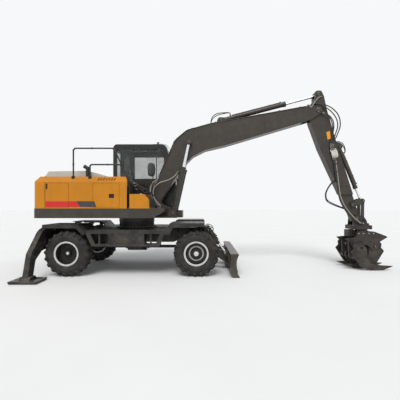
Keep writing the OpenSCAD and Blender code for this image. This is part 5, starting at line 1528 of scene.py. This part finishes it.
class EXCAVATOR_OT_undercarriage(bpy.types.Operator):
    """Fit out the undercarriage: treads, tool boxes, lamps, pins, brake lines, and bolts of slew ring and axles."""

    bl_idname = "excavator.undercarriage"
    bl_label = "Undercarriage"

    def execute(self, context):
        ring = bolts(around((0, 0, 1.0755), 0.480, angles(36), "z"), 0.010, 0.012, "z", 1)
        tread = both_sides(
            chequered(-0.88, 0.86, 0.90, 1.17, 1.049) + chequered(-0.74, 0.74, 1.03, 1.175, 0.735, 0.03))
        box = both_sides([slab(rectangle(-0.375, 0.390, 0.770, 0.955, 0.012), 1.1800, 1.1865, "y", 0.002)])
        seams = both_sides([slab(rectangle(-0.382, 0.397, 0.763, 0.962, 0.012), 1.1795, 1.1812, "y", 0.0004)])
        bars = both_sides([
            slab(rectangle(-0.615, -0.575, 0.738, 0.977), 1.135, 1.172, "y", 0.003),
            slab(rectangle(0.545, 0.580, 0.738, 0.977), 1.135, 1.172, "y", 0.003)])
        catches = both_sides([
            slab(rectangle(x - 0.022, x + 0.022, 0.925, 0.965, 0.004), 1.186, 1.191, "y", 0.001)
            for x in (-0.22, 0.24)])
        catches += both_sides([
            rod((x - 0.03, 1.189, 0.772), (x + 0.03, 1.189, 0.772), 0.006, 12) for x in (-0.25, 0.26)])
        x0 = -2.0150  # the rear face that carries the lamps
        reds, ambers = (
            both_sides([slab(rectangle(y0, y1, 0.965, 1.045, 0.010), x0 - 0.046, x0 - 0.030, "x", 0.003)])
            for y0, y1 in ((0.44, 0.50), (0.505, 0.545)))
        holders = both_sides([slab(rectangle(0.430, 0.555, 0.955, 1.055, 0.012), x0 - 0.034, x0 + 0.003, "x", 0.004)])
        heads = joined(*(lamp((1.772, side * 0.60, 1.150), 0.045, (1, 0, 0), 0.05) for side in (-1, 1)))
        lugs = both_sides([slab(rectangle(1.690, 1.725, 1.110, 1.205, 0.006), 0.585, 0.615, "y", 0.003)])
        axles, lines = [], []
        for x in (REAR_AXLE[0], FRONT_AXLE[0]):
            for side in (-1, 1):
                flange = [(0.120, side * 0.1), (0.150, side * 0.1), (0.150, side * 0.122), (0.120, side * 0.122)]
                axles.append(ring_lathed(flange, (x, 0, 0.522), "y", 48))
                axles += bolts(
                    around((x, side * 0.122, 0.522), 0.138, np.arange(14) * 0.4488), 0.007, 0.008, "y", side)
            end = 0.72 if x < 0 else 0.56
            lines.append(tube([
                (x + 0.03, -end, 0.614), (x + 0.03, -0.30, 0.617), (x + 0.06, -0.20, 0.70), (x + 0.06, 0.20, 0.70),
                (x + 0.03, 0.30, 0.617), (x + 0.03, end, 0.614)], 0.005, 10, 8))
        flanges = []
        for x, side in ((-1.095, 1), (-0.260, -1), (0.320, 1), (1.340, -1)):
            flanges += bolts(around((x, 0, 0.545), 0.047, np.arange(8) * 0.7854, "x"), 0.006, 0.007, "x", side)
        pins = joined(
            pin_pairs([(BLADE_PIN, 0.344, 0.030), (BLADE_FOOT, 0.502, 0.024)], "black paint"),
            *(pin_end((-2.0295, side * y, z), radius, "x", -1, "black paint")
              for (y, z), radius in ((LEG_PIN, 0.032), (LEG_FOOT, 0.024)) for side in (-1, 1)))
        add_piece("chassis_fittings", joined({
            "black paint": tread + box + bars + axles + lugs, "bare steel": ring + flanges,
            "cab plastic": catches + holders, "amber lens": ambers, "red lens": reds, "zinc fitting": lines,
            "black hole": seams}, heads, pins), "chassis")
        return {"FINISHED"}


class EXCAVATOR_OT_blade_and_legs(bpy.types.Operator):
    """Fit out the dozer blade and the outriggers: cutting edge, screws, ribs, pins, bolts, pipes and hoses."""

    bl_idname = "excavator.blade_and_legs"
    bl_label = "Blade and outriggers"

    def execute(self, context):
        edge = [slab([(2.554, 0.006), (2.5655, 0.006), (2.5115, 0.094), (2.503, 0.090)], -1.249, 1.249, "y", 0.001)]
        tilt = math.degrees(math.atan2(0.055, 0.085))
        screws = []
        for y in np.arange(-1.15, 1.16, 0.23):
            head = bolts([(2.538, y, 0.052)], 0.012, 0.006, "x", 1)
            screws += [turned(part, (2.536, y, 0.052), (0, 1, 0), -tilt) for part in head]
        top = [rod((2.405, -1.249, 0.522), (2.405, 1.249, 0.522), 0.010, 12)]
        ribs = both_sides([
            slab([(2.362, 0.150), (2.335, 0.170), (2.335, 0.440), (2.362, 0.460)], y, y + 0.014, "y", 0.002)
            for y in (0.70, 0.95)])
        add_piece("blade_fittings", {"bare steel": edge + screws, "graphite paint": top + ribs}, "blade")
        for side, name in SIDES:
            y = side * 0.432
            dress = barrel_dress(
                at_y(BLADE_FOOT, y), at_y(BLADE_EYE, y), 0.430, 0.038, 0.025, (0.8, 0, 0.6), (0.35, 0.62),
                "black paint")
            add_piece(f"{name}_blade_barrel_fittings", dress, "blade_barrel")
            feed = [[
                (1.800, side * 0.425, 0.985), (1.850, side * 0.445, 1.100), (1.980, y, 1.055), (1.990, y, 0.995)]]
            hoses(
                f"{name}_blade_hose", feed, 0.009, "hose rubber", ("chassis", "blade_barrel"), (1.85, 0, 1.10))
            run = ((0.70, 1.075), (0.82, 1.105), (1.00, 1.080), (1.17, 1.005), (1.58, 0.580))
            pipe = tube([(-1.991, side * q, z) for q, z in run], 0.004, 6, 6)
            rib = slab(rectangle(side * 1.50 - 0.02, side * 1.50 + 0.02, 0.055, 0.075), -2.18, -1.70, "x", 0.004)
            spots = [(LEG_X + d, side * q, 0.060) for q in (1.760, 1.470) for d in (-0.22, 0.22)]
            add_piece(f"{name}_outrigger_fittings", joined(
                pin_end((-1.9955, side * LEG_EYE[0], LEG_EYE[1]), 0.030, "x", -1, "black paint"),
                {"black paint": [pipe, rib], "bare steel": bolts(spots, 0.012, 0.010, "z", 1)}), f"{name}_outrigger")
            dress = barrel_dress(
                (LEG_X, side * LEG_FOOT[0], LEG_FOOT[1]), (LEG_X, side * LEG_EYE[0], LEG_EYE[1]), 0.395, 0.042, 0.025,
                (0, 0, 1), (0.4, 0.65), "black paint")
            add_piece(f"{name}_outrigger_barrel_fittings", dress, f"{name}_outrigger_barrel")
        return {"FINISHED"}


class EXCAVATOR_OT_grapple_fittings(bpy.types.Operator):
    """Fit out the grapple: bolts, manifold with its hoses, pins, weld beads, collars and its cylinder's pipe."""

    bl_idname = "excavator.grapple_fittings"
    bl_label = "Grapple fittings"

    def execute(self, context):
        hanger = bolts([(x, y, 1.100) for x in (5.60, 6.04) for y in (-0.15, 0, 0.15)], 0.012, 0.012, "z", 1)
        manifold = [brick((5.985, -0.075, 1.0995), (6.065, 0.075, 1.150), 0.004)]
        unions = [rod((5.790 + 0.024 * k, -0.142, z), (5.790 + 0.024 * k, -0.170, z), 0.015, 6)
                  for k, z in enumerate((1.150, 1.152, 1.154, 1.156))]
        beads = [tube([(5.575, side * 0.144, 1.102), (6.030, side * 0.144, 1.102)], 0.007, 0, 8) for side in (-1, 1)]
        add_piece("hanger_fittings", joined(
            {"bare steel": hanger, "grapple paint": manifold + beads, "zinc fitting": unions},
            *(
                hose([(5.905, y, 1.120), (5.94, y, 1.145), (5.975, y, 1.135), (5.990, y, 1.128)], 0.009)
                for y in (-0.04, 0.04))), "grapple_hanger")
        motor = [lathed([(0.165, 0), (0.165, 0.014), (0.156, 0.018)], (GRAPPLE_X, 0, 0.9445), "z", 48)]
        motor_bolts = bolts(around((GRAPPLE_X, 0, 0.9595), 0.158, angles(16) + 0.2, "z"), 0.008, 0.008, "z", 1)
        pins = joined(*(
            pin_end((GRAPPLE_X + way * CLAW_PIN[0], side * 0.272, CLAW_PIN[1]), 0.032, "y", side, "grapple paint")
            for side in (-1, 1) for way in (-1, 1)))
        hole_shade_discs, rows = [], []
        for side in (-1, 1):
            for x, z in ((5.690, 0.655), (5.780, 0.690), (6.000, 0.690), (6.090, 0.655)):
                # Black discs on the side plates: painted shade of their holes.
                hole_shade_discs.append(lathed([(0.018, 0), (0.018, side * 0.0012)], (x, side * 0.2622, z), "y", 20))
            spots = [(GRAPPLE_X + d, side * 0.262, 0.900) for d in (-0.19, -0.07, 0.07, 0.19)]
            rows += bolts(spots, 0.010, 0.010, "y", side)
        welds = [tube([(5.672, side * 0.262, 0.800), (6.108, side * 0.262, 0.800)], 0.005, 0, 6) for side in (-1, 1)]
        add_piece("rotor_fittings", joined({
            "grapple paint": motor + welds, "bare steel": motor_bolts + rows, "black hole": hole_shade_discs
        }, pins), "grapple_rotor")
        ends = [(GRAPPLE_X + way * LEVER[0], 0, LEVER[1]) for way in (-1, 1)]
        dress = barrel_dress(*ends, 0.410, 0.040, 0.022, (0, 0, 1), (0.42, 0.66), "grapple paint")
        add_piece("claw_barrel_fittings", dress, "claw_barrel")
        for name, side, arms, leaves in (("rear_claw", -1, 0.190, 0.450), ("front_claw", 1, 0.095, 0.205)):
            x = lambda d: GRAPPLE_X + side * d
            rims = [hoop((x(CLAW_PIN[0]), s * (arms + 0.0375), CLAW_PIN[1]), 0.056, 0.006, "y", 36) for s in (-1, 1)]
            ring = [(0.046, -0.012), (0.058, -0.006), (0.058, 0.006), (0.046, 0.012)]
            collars = [
                ring_lathed(ring, (x(0.330), s * y, 0.300), "y", 32)
                for s in (-1, 1) for y in (arms + 0.034, leaves - 0.034)]
            outline = [(x(0.300), 0.470), (x(0.415), 0.470), (x(0.395), 0.330), (x(0.320), 0.370)]
            plates = [
                slab(outline, s * arms + o, s * arms + o + 0.004, "y", 0.001)
                for s in (-1, 1) for o in (-0.0265, 0.0225)]
            add_piece(f"{name}_fittings", {"grapple paint": rims + collars + plates}, name)
        return {"FINISHED"}


class EXCAVATOR_OT_stage(bpy.types.Operator):
    """Lay the floor and set the lights and the camera."""

    bl_idname = "excavator.stage"
    bl_label = "Stage"

    def execute(self, context):
        scene, settings = context.scene, context.scene.excavator_stage
        radii = np.array([0.01, 4, 12, 40, 120])
        a = np.linspace(0, 2 * np.pi, 64, endpoint=False)
        rings = np.stack([
            radii[:, None] * np.cos(a), radii[:, None] * np.sin(a), np.full((len(radii), 64), -0.001)], -1)
        points, faces = grid_part(rings, wrap_columns=True)
        faces.append(list(range(64))[::-1])
        floor = add_piece("floor", {"floor": [(points, faces)]})
        world = bpy.data.worlds.new("soft sky")
        scene.world = world
        world.use_nodes = True
        sky = world.node_tree
        background = sky.nodes["Background"]
        fill(sky, background, {"Color": (0.95, 0.97, 1.0, 1.0), "Strength": settings.sky_strength})
        seen = shader_node(sky, "ShaderNodeBackground", {"Color": (0.93, 0.94, 0.95, 1.0), "Strength": 1.0})
        rays = shader_node(sky, "ShaderNodeLightPath").outputs
        direct = greater(sky, greater(sky, rays["Is Camera Ray"], rays["Is Glossy Ray"]), rays["Is Transmission Ray"])
        both = shader_node(sky, "ShaderNodeMixShader", {0: direct, 1: background.outputs[0], 2: seen.outputs[0]})
        sky.links.new(both.outputs[0], sky.nodes["World Output"].inputs["Surface"])
        for name, place_at, turn, power, angle in (
                (
                    "key light", (0, 0, 10), (math.radians(38), math.radians(14), math.radians(-24)),
                    settings.key_strength, 28),
                (
                    "fill light", (0, 0, 9), (math.radians(-40), 0, math.radians(200)), settings.key_strength * 0.25,
                    60),):
            sun = bpy.data.lights.new(name, "SUN")
            sun.energy, sun.angle = power, math.radians(angle)
            holder = bpy.data.objects.new(name, sun)
            holder.location, holder.rotation_euler = place_at, turn
            scene.collection.objects.link(holder)
        optics = bpy.data.cameras.new("camera")
        optics.sensor_width, optics.lens = 36.0, settings.lens
        optics.shift_x, optics.shift_y = -0.01, 0.015
        optics.clip_end = 400
        camera = bpy.data.objects.new("camera", optics)
        camera.location, camera.rotation_euler = settings.camera, (math.radians(90), 0, 0)
        scene.collection.objects.link(camera)
        scene.camera = camera
        scene.view_settings.view_transform = "Standard"
        return {"FINISHED"}


# Panel

OPERATORS = (
    EXCAVATOR_OT_finishes,
    EXCAVATOR_OT_tyres,
    EXCAVATOR_OT_wheel_nuts,
    EXCAVATOR_OT_hood_sides,
    EXCAVATOR_OT_hood_top,
    EXCAVATOR_OT_cab_outside,
    EXCAVATOR_OT_cab_inside,
    EXCAVATOR_OT_seat,
    EXCAVATOR_OT_boom_fittings,
    EXCAVATOR_OT_boom_hoses,
    EXCAVATOR_OT_arm_fittings,
    EXCAVATOR_OT_undercarriage,
    EXCAVATOR_OT_blade_and_legs,
    EXCAVATOR_OT_grapple_fittings,
    EXCAVATOR_OT_stage,
)


class EXCAVATOR_PT_panel(bpy.types.Panel):
    """Lists the settings and the operators."""

    bl_idname = "EXCAVATOR_PT_panel"
    bl_label = "Excavator"
    bl_space_type = "VIEW_3D"
    bl_region_type = "UI"
    bl_category = "Excavator"

    def draw(self, context):
        for group in (context.scene.excavator_colours, context.scene.excavator_tread, context.scene.excavator_stage):
            box = self.layout.box()
            for setting in group.__annotations__:
                box.prop(group, setting)
        for operator in OPERATORS:
            self.layout.operator(operator.bl_idname)


GROUPS = {"excavator_colours": ExcavatorColours, "excavator_tread": ExcavatorTread, "excavator_stage": ExcavatorStage}


def register():
    """Registers the settings, the operators and the panel."""
    for made in (*GROUPS.values(), *OPERATORS, EXCAVATOR_PT_panel):
        bpy.utils.register_class(made)
    for name, group in GROUPS.items():
        setattr(bpy.types.Scene, name, PointerProperty(type=group))


def unregister():
    """Takes back what register has done."""
    for name in GROUPS:
        delattr(bpy.types.Scene, name)
    for made in reversed((*GROUPS.values(), *OPERATORS, EXCAVATOR_PT_panel)):
        bpy.utils.unregister_class(made)


def main():
    """Makes every piece through its operator."""
    register()
    for operator in OPERATORS:
        group, name = operator.bl_idname.split(".")
        getattr(getattr(bpy.ops, group), name)()


if __name__ == "__main__":
    main()
